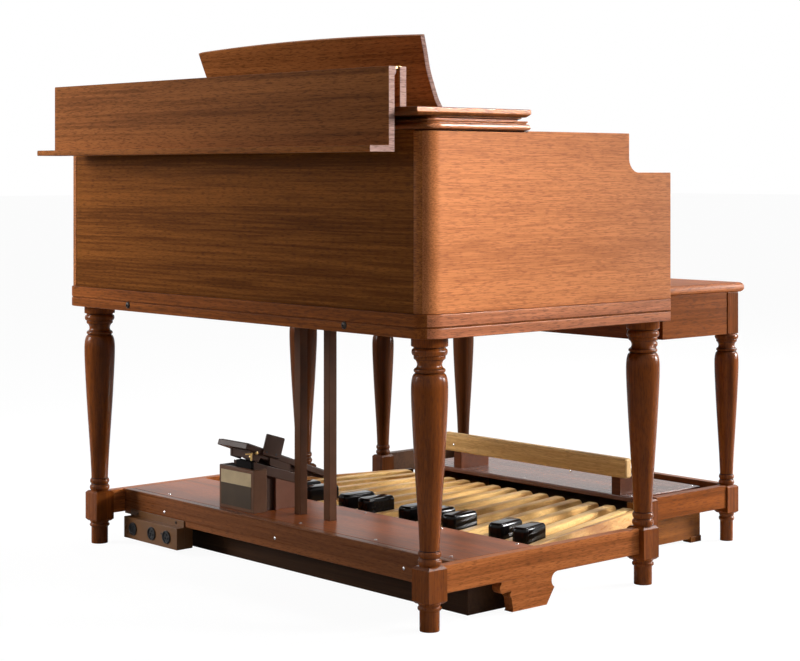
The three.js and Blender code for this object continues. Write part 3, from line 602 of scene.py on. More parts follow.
# The lid: a top board that lies open on the deck, a riser glued along its rear edge, and
# a lipped flap that hangs from the riser on a long brass hinge.
lid_left, lid_right, lid_front, lid_rear, lid_low, lid_high = cad_limits("lid_top")
walnut_lid = wood(
    "walnut_lid", "x", (0.42, 0.145, 0.04), (0.2, 0.063, 0.016), pore=(0.05, 0.016, 0.006), figure=0.6,
    pores=0.5, fineness=0.85, dullness=0.4, shine=0.02, shift=(0.9, 0, 0.2),
)
end_grain = wood(
    "walnut_end_grain", "y", (0.36, 0.22, 0.18), (0.25, 0.14, 0.115), figure=0.1, pores=0.5, fineness=1.5,
    dullness=0.5,
)
lid_edge = [
    (9, lid_low), (6.5, lid_low + 0.8), (0.8, lid_low + 5.6), (0, lid_low + 6.6), (0, lid_high - 1.5),
    (1.5, lid_high),
]
shape = bmesh.new()
add_moulded(shape, lid_left, lid_right, lid_front, lid_rear, lid_edge)
side_faces_painted_light(
    piece("lid_board", shape, walnut_deck, "lid", "walnut", nodes=["lid_top"], bevel=0.7, angle=25),
    walnut_deck_side,
)
riser_limits = cad_limits("lid_riser")
board(
    "riser_board", riser_limits, walnut_lid, "lid", "walnut", nodes=["lid_riser"], bevel=1.0,
    ends=("x", end_grain),
)

flap_left, flap_right, _, flap_lip, flap_low, flap_high = cad_limits("lid_flap")
flap_front = riser_limits[3] + 9
flap_back = flap_front + 18
lip_high = flap_low + 12
thin_front = flap_front + 4
flap_outline = (
    [(thin_front, flap_low), (flap_lip - 1.5, flap_low), (flap_lip, flap_low + 1.5),
     (flap_lip, lip_high - 1.5), (flap_lip - 1.5, lip_high), (flap_back + 1, lip_high),
     (flap_back, lip_high + 1), (flap_back, flap_high - 1), (flap_back - 1, flap_high),
     (flap_front, flap_high), (flap_front, flap_high - 11)]
    + arc(flap_front + 5, flap_high - 11, 5, 180, 250, 6) + [(thin_front, flap_high - 18)]
)
shape = bmesh.new()
add_side_outline(shape, flap_outline, flap_left, flap_right)
piece("flap_board", shape, walnut_lid, "flap", "walnut", nodes=["lid_flap"], bevel=0.6, ends=("x", end_grain))


# The hinge's knuckles are the first of the parts that repeat. Geometry Nodes lay such parts
# out in a row or at given places, and the copies are baked into one plain mesh.
def node_tree(name, inputs):
    tree = bpy.data.node_groups.new(name, "GeometryNodeTree")
    for socket, kind in inputs:
        tree.interface.new_socket(name=socket, in_out="INPUT", socket_type=kind)
    tree.interface.new_socket(name="Geometry", in_out="OUTPUT", socket_type="NodeSocketGeometry")
    return tree, add_node(tree, "NodeGroupInput").outputs


def finish_tree(tree, given, shapes):
    real = add_node(tree, "GeometryNodeRealizeInstances", {"Geometry": shapes})
    painted = add_node(tree, "GeometryNodeSetMaterial", {
        "Geometry": real.outputs[0], "Material": given["Finish"],
    })
    add_node(tree, "NodeGroupOutput", {"Geometry": painted.outputs[0]})
    return tree


def copies_at(tree, given, points):
    shape = add_node(tree, "GeometryNodeObjectInfo", {"Object": given["Shape"]})
    return add_node(tree, "GeometryNodeInstanceOnPoints", {
        "Points": points, "Instance": shape.outputs["Geometry"],
    }).outputs[0]


def row_tree():
    tree, given = node_tree("row_of_shapes", (
        ("Geometry", "NodeSocketGeometry"), ("Shape", "NodeSocketObject"), ("Count", "NodeSocketInt"),
        ("Start", "NodeSocketVector"), ("Step", "NodeSocketVector"), ("Finish", "NodeSocketMaterial"),
    ))
    line = add_node(tree, "GeometryNodeMeshLine", {
        "Count": given["Count"], "Start Location": given["Start"], "Offset": given["Step"],
    }, mode="OFFSET")
    return finish_tree(tree, given, copies_at(tree, given, line.outputs[0]))


def places_tree():
    tree, given = node_tree("shapes_at_places", (
        ("Geometry", "NodeSocketGeometry"), ("Shape", "NodeSocketObject"), ("Finish", "NodeSocketMaterial"),
    ))
    return finish_tree(tree, given, copies_at(tree, given, given["Geometry"]))


def pattern_object(shape):
    """A shape that Geometry Nodes copy. It is removed once the copies are baked."""
    bmesh.ops.recalc_face_normals(shape, faces=shape.faces)
    mesh = bpy.data.meshes.new("pattern")
    shape.to_mesh(mesh)
    shape.free()
    made = bpy.data.objects.new("pattern", mesh)
    bpy.context.scene.collection.objects.link(made)
    return made


def grown(tree, base, values):
    """The plain mesh that a Geometry Nodes tree makes on base with these input values."""
    holder = bpy.data.objects.new("holder", base)
    bpy.context.scene.collection.objects.link(holder)
    modifier = holder.modifiers.new("grow", "NODES")
    modifier.node_group = tree
    for item in tree.interface.items_tree:
        if item.in_out == "INPUT" and item.name in values:
            modifier[item.identifier] = values[item.name]
    bpy.context.view_layer.update()
    seen_by = bpy.context.evaluated_depsgraph_get()
    mesh = bpy.data.meshes.new_from_object(holder.evaluated_get(seen_by))
    bpy.data.objects.remove(holder)
    for value in values.values():
        if isinstance(value, bpy.types.Object):
            bpy.data.objects.remove(value)
    return mesh


row_of_shapes = row_tree()
shapes_at_places = places_tree()


def row(shape, count, start, step, finish):
    return grown(row_of_shapes, bpy.data.meshes.new("row"), {
        "Shape": pattern_object(shape), "Count": count, "Start": start, "Step": step, "Finish": finish,
    })


def at_places(shape, places, finish):
    points = bpy.data.meshes.new("places")
    points.from_pydata(places, [], [])
    return grown(shapes_at_places, points, {"Shape": pattern_object(shape), "Finish": finish})


def add_rod(shape, axis, centre, radius, start, end, facets=20, rounding=0.0):
    """A rod along an axis. centre is its other two coordinates, in alphabetical order."""
    steps = [(radius, start + rounding), (radius, end - rounding)]
    if rounding:
        steps = [(radius - rounding, start), *steps, (radius - rounding, end)]
    rings = []
    for r, place in steps:
        ring = []
        for i in range(facets):
            turn = 2 * math.pi * i / facets
            a, b = centre[0] + r * math.cos(turn), centre[1] + r * math.sin(turn)
            ring.append({"x": (place, a, b), "y": (a, place, b), "z": (a, b, place)}[axis])
        rings.append(ring)
    add_rings(shape, rings)


def worn_group():
    """Handling marks: cloudy dullness and a fine orange-peel relief."""
    tree = bpy.data.node_groups.new("handled_surface", "ShaderNodeTree")
    for name, kind in (
        ("Vector", "NodeSocketVector"), ("Colour", "NodeSocketColor"), ("Dullness", "NodeSocketFloat"),
        ("Variation", "NodeSocketFloat"), ("Grit", "NodeSocketFloat"),
    ):
        tree.interface.new_socket(name=name, in_out="INPUT", socket_type=kind)
    for name, kind in (
        ("Color", "NodeSocketColor"), ("Roughness", "NodeSocketFloat"), ("Height", "NodeSocketFloat"),
    ):
        tree.interface.new_socket(name=name, in_out="OUTPUT", socket_type=kind)
    given = add_node(tree, "NodeGroupInput").outputs
    cloud = add_node(tree, "ShaderNodeTexNoise", {
        "Vector": given["Vector"], "Scale": 22, "Detail": 5, "Roughness": 0.6,
    })
    speck = add_node(tree, "ShaderNodeTexNoise", {
        "Vector": given["Vector"], "Scale": given["Grit"], "Detail": 2,
    })
    spread = maths(tree, "MULTIPLY", given["Variation"], 0.5)
    swing = add_node(tree, "ShaderNodeMapRange", {
        "Value": cloud.outputs["Fac"], "From Min": 0.3, "From Max": 0.7,
        "To Min": maths(tree, "SUBTRACT", 1.0, spread), "To Max": maths(tree, "ADD", 1.0, spread),
    }).outputs[0]
    tint = add_node(
        tree, "ShaderNodeVectorMath", {0: given["Colour"], "Scale": swing}, operation="SCALE",
    )
    add_node(tree, "NodeGroupOutput", {
        "Color": tint.outputs[0], "Roughness": maths(tree, "MULTIPLY", swing, given["Dullness"]),
        "Height": speck.outputs["Fac"],
    })
    return tree


handled_surface = worn_group()


def plain(name, colour, dullness, variation=0.3, grit=900.0, metal=0.0, relief=0.05, lacquer=0.0, shine=0.4):
    """Plastic, paint, felt or metal: one colour that handling has varied a little."""
    made, tree = new_material(name)
    place = add_node(tree, "ShaderNodeTexCoord").outputs["Object"]
    worn = add_node(tree, "ShaderNodeGroup", {}, node_tree=handled_surface)
    tree.links.new(place, worn.inputs["Vector"])
    for socket, value in (
        ("Colour", (*colour, 1)), ("Dullness", dullness), ("Variation", variation), ("Grit", grit),
    ):
        worn.inputs[socket].default_value = value
    bump = add_node(tree, "ShaderNodeBump", {
        "Height": worn.outputs["Height"], "Strength": relief, "Distance": 0.0003,
    })
    surface(tree, add_node(tree, "ShaderNodeBsdfPrincipled", {
        "Base Color": worn.outputs["Color"], "Roughness": worn.outputs["Roughness"], "Metallic": metal,
        "Normal": bump.outputs[0], "Specular IOR Level": shine, "Coat Weight": lacquer, "Coat Roughness": 0.1,
    }))
    return made


brass = plain("hinge_brass", (0.72, 0.5, 0.2), 0.3, metal=1.0)
hinge_y = flap_front - 4.5
hinge_z = flap_high - 2.4
hinge_in = 3
knuckle_count = 46
knuckle_pitch = (flap_right - flap_left - 2 * hinge_in) / knuckle_count
shape = bmesh.new()
add_rod(shape, "x", (0, 0), 2.3, 0.3, knuckle_pitch - 0.3, facets=14, rounding=0.4)
mesh = row(shape, knuckle_count, (flap_left + hinge_in, hinge_y, hinge_z), (knuckle_pitch, 0, 0), brass)
piece("flap_hinge_knuckles", mesh, brass, "flap", "brown_metal")
riser_face = riser_limits[3]
board(
    "flap_hinge_leaf",
    (flap_left + hinge_in, flap_right - hinge_in, riser_face - 6, riser_face + 0.6,
     flap_high - 0.1, flap_high + 0.6),
    brass, "lid", "brown_metal", bevel=0.2,
)

# The music rest is a thin leaning board with hollow sides. Its top edge is a low arch.
rest_lean = math.radians(18.5)
rest_hinge = (-197, lid_high + 4.2)
rest_middle = -14
rest_half = 376
rest_high = 167
rest_thick = 12
waist = smooth_profile(
    [(1.012, 0), (1, 0.07), (0.989, 0.17), (0.984, 0.33), (0.981, 0.52), (0.993, 0.76), (1, 0.952)], 4,
)
flare = [(rest_half * reach, rest_high * rise) for reach, rise in waist]
crown_rise = 8
crown_turns = [math.pi * i / 24 for i in range(1, 24)]
crown = [(rest_half * math.cos(turn), rest_high - crown_rise * math.cos(turn) ** 2) for turn in crown_turns]
rest_outline = flare + crown + [(-x, z) for x, z in reversed(flare)]
shape = bmesh.new()
add_rings(shape, [[(x, y, z) for x, z in rest_outline] for y in (0, rest_thick)])
bmesh.ops.transform(
    shape, matrix=Matrix.Translation((rest_middle, *rest_hinge)) @ Matrix.Rotation(-rest_lean, 4, "X"),
    verts=shape.verts,
)
piece(
    "music_rest_board", shape, walnut_lid, "rest", "walnut", nodes=["music_rest"], bevel=1.4, segments=3,
    ends=("x", end_grain),
)

# Two manuals of 61 moulded keys with a waterfall front. The lowest octave of each is a set
# of preset keys in reversed colours. They stand in a walnut bed between end blocks.
key_pitch = 23.5
key_high = 21
key_play = 0.6
bed_back = 21
end_gap = 1.2
octave_sharps = (0, 1, 3, 4, 5)
preset_naturals = 7
natural_count = 43
key_start = -natural_count * key_pitch / 2
ivory = plain("key_ivory", (0.84, 0.8, 0.7), 0.2, variation=0.1, relief=0.01, lacquer=0.3)
key_black = plain("key_black", (0.012, 0.011, 0.011), 0.16, variation=0.3, relief=0.01, lacquer=0.5)
for manual, front, length, sharp_length, top in (
    ("lower", -604, 150, 95, 765), ("upper", -512, 122, 75, 830),
):
    x0, x1, y0, y1, z0, z1 = cad_limits(f"{manual}_manual")
    key_low = top - key_high
    outline = (
        [(front + 2, key_low), (front + length, key_low), (front + length, top)]
        + arc(front + 7, top - 7, 7, 90, 175, 6) + [(front + 0.4, top - 12), (front + 3, top - 19)]
    )

    def natural_shape():
        shape = bmesh.new()
        add_side_outline(shape, outline, key_play, key_pitch - key_play)
        return shape

    def sharp_shape():
        shape = bmesh.new()
        rear = front + length - 1
        near = rear - sharp_length
        add_rings(shape, [
            [(-half, near + back, top + up), (half, near + back, top + up),
             (half, rear, top + up), (-half, rear, top + up)]
            for half, back, up in ((6, 0, -3), (5.4, 3, 6), (4.2, 7, 11))
        ])
        return shape

    presets = row(natural_shape(), preset_naturals, (key_start, 0, 0), (key_pitch, 0, 0), key_black)
    piece(
        f"{manual}_preset_naturals", presets, None, "console", "key_ivory", nodes=[f"{manual}_manual"],
        bevel=0.6,
    )
    naturals = row(
        natural_shape(), natural_count - preset_naturals, (key_start + preset_naturals * key_pitch, 0, 0),
        (key_pitch, 0, 0), ivory,
    )
    piece(f"{manual}_naturals", naturals, None, "console", "key_ivory", bevel=0.6)
    gaps = [i for i in range(natural_count - 1) if i % 7 in octave_sharps]
    for kind, finish, chosen in (
        ("preset_sharps", ivory, [i for i in gaps if i < preset_naturals]),
        ("sharps", key_black, [i for i in gaps if i >= preset_naturals]),
    ):
        places = [(key_start + (i + 1) * key_pitch, 0, 0) for i in chosen]
        mesh = at_places(sharp_shape(), places, finish)
        piece(f"{manual}_{kind}", mesh, None, "console", "key_ivory", bevel=1.2)
    shape = bmesh.new()
    add_block(shape, x0, x1, y0 + bed_back, y1, z0, key_low + 0.2)
    add_block(shape, x0, key_start - end_gap, y0, y1, z0, top)
    add_block(shape, -key_start + end_gap, x1, y0, y1, z0, top)
    piece(f"{manual}_key_bed", shape, walnut_rear, "console", "walnut", bevel=1.5, segments=3)

# The drawbar panel slopes up behind the upper manual. Its drawbars carry ribbed caps in
# brown, white and black, and beside them are rocker tabs and one knob.
panel_x0, panel_x1, slope_front, slope_rear, slope_base, _ = cad_limits("drawbar_panel")
front_top, rear_top = 846, 882
rise = (rear_top - front_top) / (slope_rear - slope_front)


def slope_at(y):
    return front_top + rise * (y - slope_front)


panel_outline = [
    (slope_front, slope_base), (slope_rear, slope_base), (slope_rear, rear_top), (slope_front, front_top),
]
shape = bmesh.new()
add_side_outline(shape, panel_outline, panel_x0, panel_x1)
piece("drawbar_board", shape, walnut_rear, "console", "dark_walnut", nodes=["drawbar_panel"], bevel=1.2)
drawbar_brown = plain("drawbar_brown", (0.09, 0.028, 0.013), 0.3)
drawbar_white = plain("drawbar_white", (0.8, 0.78, 0.72), 0.3, variation=0.1)
bar_finishes = {"brown": drawbar_brown, "white": drawbar_white, "black": key_black}
full_group = ("brown", "brown", "white", "white", "black", "white", "black", "black", "white")
pedal_group = ("brown", "brown")
bar_wide, bar_deep, rib_pitch = 13, 12, 2.7
bar_pitch = 18.5
group_pitch = 40
bar_x = -420
bar_places = {colour: [] for colour in bar_finishes}
for group in (full_group, full_group, pedal_group, full_group, full_group):
    for colour in group:
        bar_places[colour].append((bar_x, 0, 0))
        bar_x += bar_pitch
    bar_x += group_pitch - bar_pitch


def drawbar_shape():
    shape = bmesh.new()
    y0 = slope_front + 9
    z0 = slope_at(y0 + bar_deep)
    add_block(shape, 0, bar_wide, y0, y0 + bar_deep, z0 - 1, z0 + 9, 1.2)
    for i in range(4):
        rib_y = y0 + 1.2 + i * rib_pitch
        add_block(shape, 1, bar_wide - 1, rib_y, rib_y + 1.2, z0 + 8.5, z0 + 9.8)
    add_block(shape, 4, 9, y0 + 11, y0 + 34, z0 + 1.5, z0 + 5)
    return shape


for colour, finish in bar_finishes.items():
    mesh = at_places(drawbar_shape(), bar_places[colour], finish)
    piece(f"drawbars_{colour}", mesh, None, "console", "dark_walnut", bevel=0.3)
tab_wide, tab_long, tab_pitch, tab_count = 17, 26, 21, 7
tab_x, tab_y = 280, slope_rear - 35
shape = bmesh.new()
z = slope_at(tab_y)
add_rings(shape, [
    [(0, tab_y, z + near), (tab_wide, tab_y, z + near),
     (tab_wide, tab_y + tab_long, z + far), (0, tab_y + tab_long, z + far)]
    for near, far in ((-3, -1), (3, 7))
])
mesh = row(shape, tab_count, (tab_x, 0, 0), (tab_pitch, 0, 0), drawbar_brown)
piece("rocker_tabs", mesh, None, "console", "dark_walnut", bevel=1)
dial_x = -500
dial_y = (slope_front + slope_rear) / 2
shape = bmesh.new()
dial_z = slope_at(dial_y)
add_rod(shape, "z", (dial_x, dial_y), 16, dial_z - 3, dial_z + 2, facets=36)
add_rod(shape, "z", (dial_x, dial_y), 12, dial_z + 1, dial_z + 14, facets=28, rounding=1.2)
piece("vibrato_knob", shape, key_black, "console", "sharp_black", bevel=0.4)
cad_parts["tone_generator"].data.materials.clear()
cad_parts["tone_generator"].data.materials.append(plain("generator_paint", (0.1, 0.1, 0.09), 0.5))

# The lower frame: a rail between the legs at each end, with a scalloped bracket below it,
# a rail along the back, and a wide shelf behind the pedals.
rail_x0, rail_x1, rail_y0, rail_y1, _, rail_z1 = cad_limits("side_rail_bass")
rail_bottom = 66
bracket_rear, bracket_front = -174, -334
walnut_rail_side = wood(
    "walnut_rail_side", "y", (0.44, 0.138, 0.037), (0.24, 0.07, 0.018), figure=0.5, pores=0.45, dullness=0.3,
    shine=0.04,
)
walnut_rail_back = wood(
    "walnut_rail_back", "x", (0.25, 0.085, 0.028), (0.135, 0.043, 0.014), figure=0.6, pores=0.45,
    dullness=0.28,
)
bracket_outline = (
    [(bracket_rear, rail_bottom + 0.3), (bracket_rear, rail_bottom)]
    + arc(bracket_rear - 12, rail_bottom - 12, 12, 60, -60, 8)
    + arc(bracket_rear - 36, rail_bottom - 28, 8, 60, -60, 6)
    + [(bracket_rear - 36, 7), (bracket_rear - 33, 4), (bracket_front + 30, 4)]
    + arc(bracket_front, rail_bottom - 16, 16, -60, 90, 10)
    + [(bracket_front, rail_bottom + 0.3)]
)
bracket_outline = [
    corner for i, corner in enumerate(bracket_outline)
    if i == 0 or math.dist(corner, bracket_outline[i - 1]) > 0.1
]
for side, x0, x1 in (("bass", rail_x0, rail_x1), ("treble", -rail_x1, -rail_x0)):
    board(
        f"{side}_end_rail", (x0, x1, rail_y0, rail_y1, rail_bottom, rail_z1), walnut_rail_side, "console",
        "walnut", nodes=[f"side_rail_{side}"], bevel=1.6, segments=3,
    )
    shape = bmesh.new()
    add_side_outline(shape, bracket_outline, x0, x1)
    piece(f"{side}_end_bracket", shape, walnut_rail_side, "console", "walnut", bevel=1.2)
rear_rail_limits = cad_limits("rear_rail")
board(
    "back_rail", rear_rail_limits, walnut_rail_back, "console", "walnut", nodes=["rear_rail"], bevel=1.8,
    segments=3,
)
walnut_shelf = wood(
    "walnut_shelf", "x", (0.38, 0.1, 0.026), (0.19, 0.052, 0.014), figure=0.6, pores=0.35, dullness=0.3,
    shine=0.09,
)
board("shelf_board", cad_limits("shelf"), walnut_shelf, "console", "walnut", nodes=["shelf"], bevel=1.2)

# Domed steel screws hold the shelf and the rear rail. Two dark bolt heads stand on the rear
# face of the band.
steel = plain("screw_steel", (0.62, 0.61, 0.6), 0.25, metal=1.0)


def screws(name, places, axis, radius, height, finish, body="console"):
    """Domed heads, each with a hollow in its middle, that stand at the places along +axis."""
    dome_shares = ((1, 0), (0.97, 0.35), (0.72, 0.85), (0.3, 1), (0.22, 0.55), (0.05, 0.5))
    facets = 16
    rings = []
    for across, up in dome_shares:
        r, h = radius * across, height * up
        ring = []
        for i in range(facets):
            turn = 2 * math.pi * i / facets
            a, b = r * math.cos(turn), r * math.sin(turn)
            ring.append({"x": (h, a, b), "y": (a, h, b), "z": (a, b, h)}[axis])
        rings.append(ring)
    shape = bmesh.new()
    add_rings(shape, rings)
    piece(name, at_places(shape, places, finish), None, body, "brown_metal")


shelf_top = rail_z1
shelf_screws = [(x, y, shelf_top - 0.1) for x in (-520, -300, -60, 180, 420) for y in (-96, -276)]
screws("shelf_screws", shelf_screws, "z", 3.6, 1.4, steel)
rail_rear = rear_rail_limits[3]
screws("rail_screws", [(x, rail_rear - 0.1, 85) for x in (-422, -15, 392)], "y", 3.6, 1.4, steel)
bolt_black = plain("bolt_black", (0.03, 0.022, 0.018), 0.35, metal=0.6)
band_bolts = [(x, band_rear - 0.3, band_low + 13.5) for x in (-385, 358)]
screws("band_bolts", band_bolts, "y", 7.5, 4, bolt_black)

# Under the shelf hangs the long dark box of the pedal switches, and on the rear rail a
# painted metal box with three round sockets. Two square posts brace the body.
walnut_dark = wood(
    "walnut_dark", "x", (0.062, 0.028, 0.012), (0.034, 0.015, 0.007), figure=0.5, pores=0.4, dullness=0.38,
)
switch_x0, switch_x1, switch_y0, switch_y1, switch_z0, switch_z1 = cad_limits("pedal_switch_box")
shape = bmesh.new()
switch_top, stem_wide, stem_front = 53, 60, -200
add_block(shape, switch_x0, switch_x1, switch_y0, switch_y1, switch_z0, switch_top)
for x in (switch_x0, switch_x1 - stem_wide):
    add_block(shape, x, x + stem_wide, stem_front, switch_y1, switch_top - 2, switch_z1)
piece("switch_box", shape, walnut_dark, "console", "dark_walnut", nodes=["pedal_switch_box"], bevel=1.5)

box_x0, box_x1, box_y0, box_y1, box_z0, box_z1 = cad_limits("socket_box")
brown_paint = plain(
    "brown_hammered_paint", (0.15, 0.066, 0.024), 0.3, variation=0.25, grit=500, relief=0.12, shine=0.35,
)
box_top = 61.5
plate = rail_rear + 0.3
shape = bmesh.new()
add_block(shape, box_x0, box_x1, plate, box_y1, box_z0, box_top)
add_block(shape, box_x0 + 1, box_x1 - 1, box_y0, plate + 0.2, box_z0, rail_bottom - 4.2)
add_block(shape, box_x0, box_x1, plate - 0.2, plate + 3, box_top - 0.5, box_z1)
piece("socket_casing", shape, brown_paint, "console", "brown_metal", nodes=["socket_box"], bevel=1.0)
socket_z = box_z0 + (box_top - box_z0) * 0.5
socket_black = plain("socket_black", (0.012, 0.012, 0.013), 0.3)
shape = bmesh.new()
ring_steps = [(14.6, -1), (15, 1.4), (14.4, 3), (12.6, 3.2), (11.8, 2), (11.4, 0.7), (0.4, 0.6)]
socket_turns = [2 * math.pi * i / 28 for i in range(28)]
add_rings(shape, [
    [(r * math.cos(turn), h, r * math.sin(turn)) for turn in socket_turns] for r, h in ring_steps
])
contact_out = 5
for turn in (90, 210, 330):
    contact = (contact_out * math.cos(math.radians(turn)), contact_out * math.sin(math.radians(turn)))
    add_rod(shape, "y", contact, 1.9, 0.5, 2.2, facets=10)
socket_shares = (0.19, 0.465, 0.82)
socket_places = [(box_x0 + (box_x1 - box_x0) * share, box_y1, socket_z) for share in socket_shares]
piece("sockets", at_places(shape, socket_places, socket_black), None, "console", "sharp_black")
flange_screws = [(x, plate + 2.9, 69) for x in (box_x0 + 30, box_x1 - 30)]
screws("socket_box_screws", flange_screws, "y", 3.4, 1.6, bolt_black)
# A black disc on the box's face is painted shade for a small hole.
hole_place = (box_x0 + (box_x1 - box_x0) * 0.29, socket_z + 5)
shape = bmesh.new()
add_rod(shape, "y", hole_place, 2.6, box_y1 - 1, box_y1 + 0.15, facets=14)
piece("socket_box_hole", shape, socket_black, "console", "sharp_black")
post_brown = plain(
    "post_brown_paint", (0.088, 0.032, 0.011), 0.45, variation=0.3, grit=300, relief=0.1, shine=0.15,
)
for name in ("post_bass", "post_treble"):
    board(f"square_{name}", cad_limits(name), post_brown, "console", "brown_metal", nodes=[name], bevel=1.0)

# The expression pedal is a painted steel box. A rim stands round three sides of its top,
# where a near-black sheet is painted shade for the dark opening, and the treadle rocks above it.
ex_x0, ex_x1, _, ex_y1, ex_z0, _ = cad_limits("expression_box")


def steel_paint(name, colour, dullness, shine):
    return plain(name, colour, dullness, variation=0.3, grit=700, relief=0.08, shine=shine)


expression_brown = steel_paint("expression_brown", (0.12, 0.052, 0.025), 0.4, 0.2)
expression_red = steel_paint("expression_red", (0.13, 0.047, 0.024), 0.35, 0.3)
expression_dark = steel_paint("expression_dark", (0.045, 0.019, 0.01), 0.4, 0.2)
opening_black = plain("opening_black", (0.006, 0.005, 0.005), 0.7, shine=0.05)
casing_front = -122
casing_top = 211
rim = 6
rim_high = 2
shape = bmesh.new()
add_block(shape, ex_x0, ex_x1, casing_front, ex_y1, ex_z0, casing_top)
for x in (ex_x0, ex_x1 - rim):
    add_block(shape, x, x + rim, casing_front, ex_y1, casing_top - 0.2, casing_top + rim_high)
add_block(shape, ex_x0, ex_x1, ex_y1 - rim, ex_y1, casing_top - 0.2, casing_top + rim_high)
piece(
    "expression_casing", shape, expression_brown, "console", "brown_metal", nodes=["expression_box"],
    bevel=1.2,
)
# The near-black sheet in the top is painted shade for the opening.
board(
    "expression_opening",
    (ex_x0 + rim, ex_x1 - rim, casing_front + 1, ex_y1 - rim, casing_top - 0.1, casing_top + 0.6),
    opening_black, "console", "sharp_black",
)

# A thin bare plate of painted metal is fixed to the casing's rear face. Its upper part is
# pale, and the rest of it is dark.
plate_low, plate_high = ex_z0 + 8, casing_top - 7
pale_high = 29
for name, low, high, colour in (
    ("dark", plate_low, plate_high - pale_high, (0.055, 0.035, 0.02)),
    ("pale", plate_high - pale_high + 0.3, plate_high, (0.45, 0.34, 0.2)),
):
    finish = plain(f"plate_{name}", colour, 0.45, shine=0.2)
    board(
        f"bare_plate_{name}", (ex_x0 + 9, ex_x1 - 7, ex_y1 - 0.3, ex_y1 + 0.7, low, high), finish, "console",
        "brown_metal", bevel=0.3,
    )

# The nose in front of the casing slopes down under the treadle. It is folded from sheet
# steel, and a dark band runs along its top and back over the casing's bass side.
nose_end = -215
band_deep = 22
nose_fall = math.tan(math.radians(17.2))
nose_start, nose_start_top = -93, 229


def nose_top(y):
    return nose_start_top + (y - nose_start) * nose_fall


for name, inset, rear, drop_top, drop_low, finish in (
    ("core", 12, casing_front + 0.3, 2, None, expression_dark),
    ("panel", 5, -150, 20, None, expression_red),
    ("band", 4, casing_front, 0, band_deep, expression_dark),
):
    outline = [(rear, nose_top(rear) - drop_top), (nose_end, nose_top(nose_end) - drop_top)]
    if drop_low:
        outline += [(nose_end, nose_top(nose_end) - drop_low), (rear, nose_top(rear) - drop_low)]
    else:
        outline += [(nose_end, ex_z0), (rear, ex_z0)]
    shape = bmesh.new()
    add_side_outline(shape, outline, ex_x0 + inset, ex_x1 - inset)
    piece(f"expression_{name}", shape, finish, "console", "brown_metal", bevel=1.2)
band_rear_end = -91
band_end = [
    (band_rear_end, nose_top(band_rear_end)), (casing_front, nose_top(casing_front)),
    (casing_front, nose_top(casing_front) - band_deep), (band_rear_end, nose_top(band_rear_end) - band_deep),
]
shape = bmesh.new()
add_side_outline(shape, band_end, ex_x0 + 4, ex_x0 + 7)
piece("expression_band_end", shape, expression_dark, "console", "brown_metal", bevel=0.8)

# The treadle is a thick plate that rocks on a rod. It is faced with ribbed black rubber, and
# a guard plate with two holes is fixed to its bass side.
treadle_left, treadle_right = 98, 202
treadle_turn = math.radians(20.6)
treadle_thick = 15
treadle_rear, treadle_front = -76, -320
treadle_top = 273.5
pivot = (-150, 222)
treadle_place = Matrix.Translation((0, treadle_rear, treadle_top)) @ Matrix.Rotation(treadle_turn, 4, "X")
treadle_long = (treadle_rear - treadle_front) / math.cos(treadle_turn)
shape = bmesh.new()
add_block(shape, treadle_left, treadle_right, -treadle_long, 0, -treadle_thick, -2)
bmesh.ops.transform(shape, matrix=treadle_place, verts=shape.verts)
piece(
    "treadle_plate", shape, expression_dark, "treadle", "brown_metal", nodes=["expression_treadle"],
    bevel=1.6, segments=3,
)
rubber = plain("treadle_rubber", (0.03, 0.02, 0.016), 0.55, variation=0.4, grit=1200, relief=0.2, shine=0.2)
shape = bmesh.new()
add_block(shape, treadle_left + 3, treadle_right - 3, -treadle_long + 4, -4, -2.4, -0.9)
bmesh.ops.transform(shape, matrix=treadle_place, verts=shape.verts)
piece("treadle_mat", shape, rubber, "treadle", "sharp_black", bevel=0.6)
shape = bmesh.new()
add_block(shape, 0, 3.2, -treadle_long + 8, -7, -1.2, 0)
bmesh.ops.transform(shape, matrix=treadle_place, verts=shape.verts)
mat_ribs, mat_rib_pitch = 17, 5.6
mesh = row(shape, mat_ribs, (treadle_left + 7, 0, 0), (mat_rib_pitch, 0, 0), rubber)
piece("treadle_ribs", mesh, None, "treadle", "sharp_black", bevel=0.5)
guard_foot = (0, -113.6, 244.3)
guard_place = Matrix.Translation(guard_foot) @ Matrix.Rotation(math.radians(17), 4, "X")
guard_long, guard_high, guard_thick = 52, 46, 3
corner = 3
guard_plan = (
    arc(corner - guard_long, corner, corner, 180, 270, 4) + arc(-corner, corner, corner, 270, 360, 4)
    + arc(-corner, guard_high - corner, corner, 0, 90, 4)
    + arc(corner - guard_long, guard_high - corner, corner, 90, 180, 4)
)
shape = bmesh.new()
add_side_outline(shape, guard_plan, treadle_left - guard_thick, treadle_left + 0.2)
bmesh.ops.transform(shape, matrix=guard_place, verts=shape.verts)
piece("treadle_guard", shape, expression_dark, "treadle", "brown_metal", bevel=0.6)
# Two black discs on the guard are painted shade for its holes.
shape = bmesh.new()
guard_face = treadle_left - guard_thick
guard_hole_up = 7
for along in (-11, -38):
    add_rod(shape, "x", (along, guard_hole_up), 2.6, guard_face - 0.25, guard_face + 1, facets=14)
bmesh.ops.transform(shape, matrix=guard_place, verts=shape.verts)
piece("treadle_guard_holes", shape, socket_black, "treadle", "sharp_black")


# Under the treadle hang a channel of sheet steel, a web, the pivot's lug, and the brass link
# to the volume control. The spring's housing stands still on the casing.
def under_treadle(y, depth):
    """A point of the side view, this deep below the treadle's plate."""
    plate_under = treadle_top - treadle_thick / math.cos(treadle_turn)
    return y, plate_under + (y - treadle_rear) * math.tan(treadle_turn) - depth


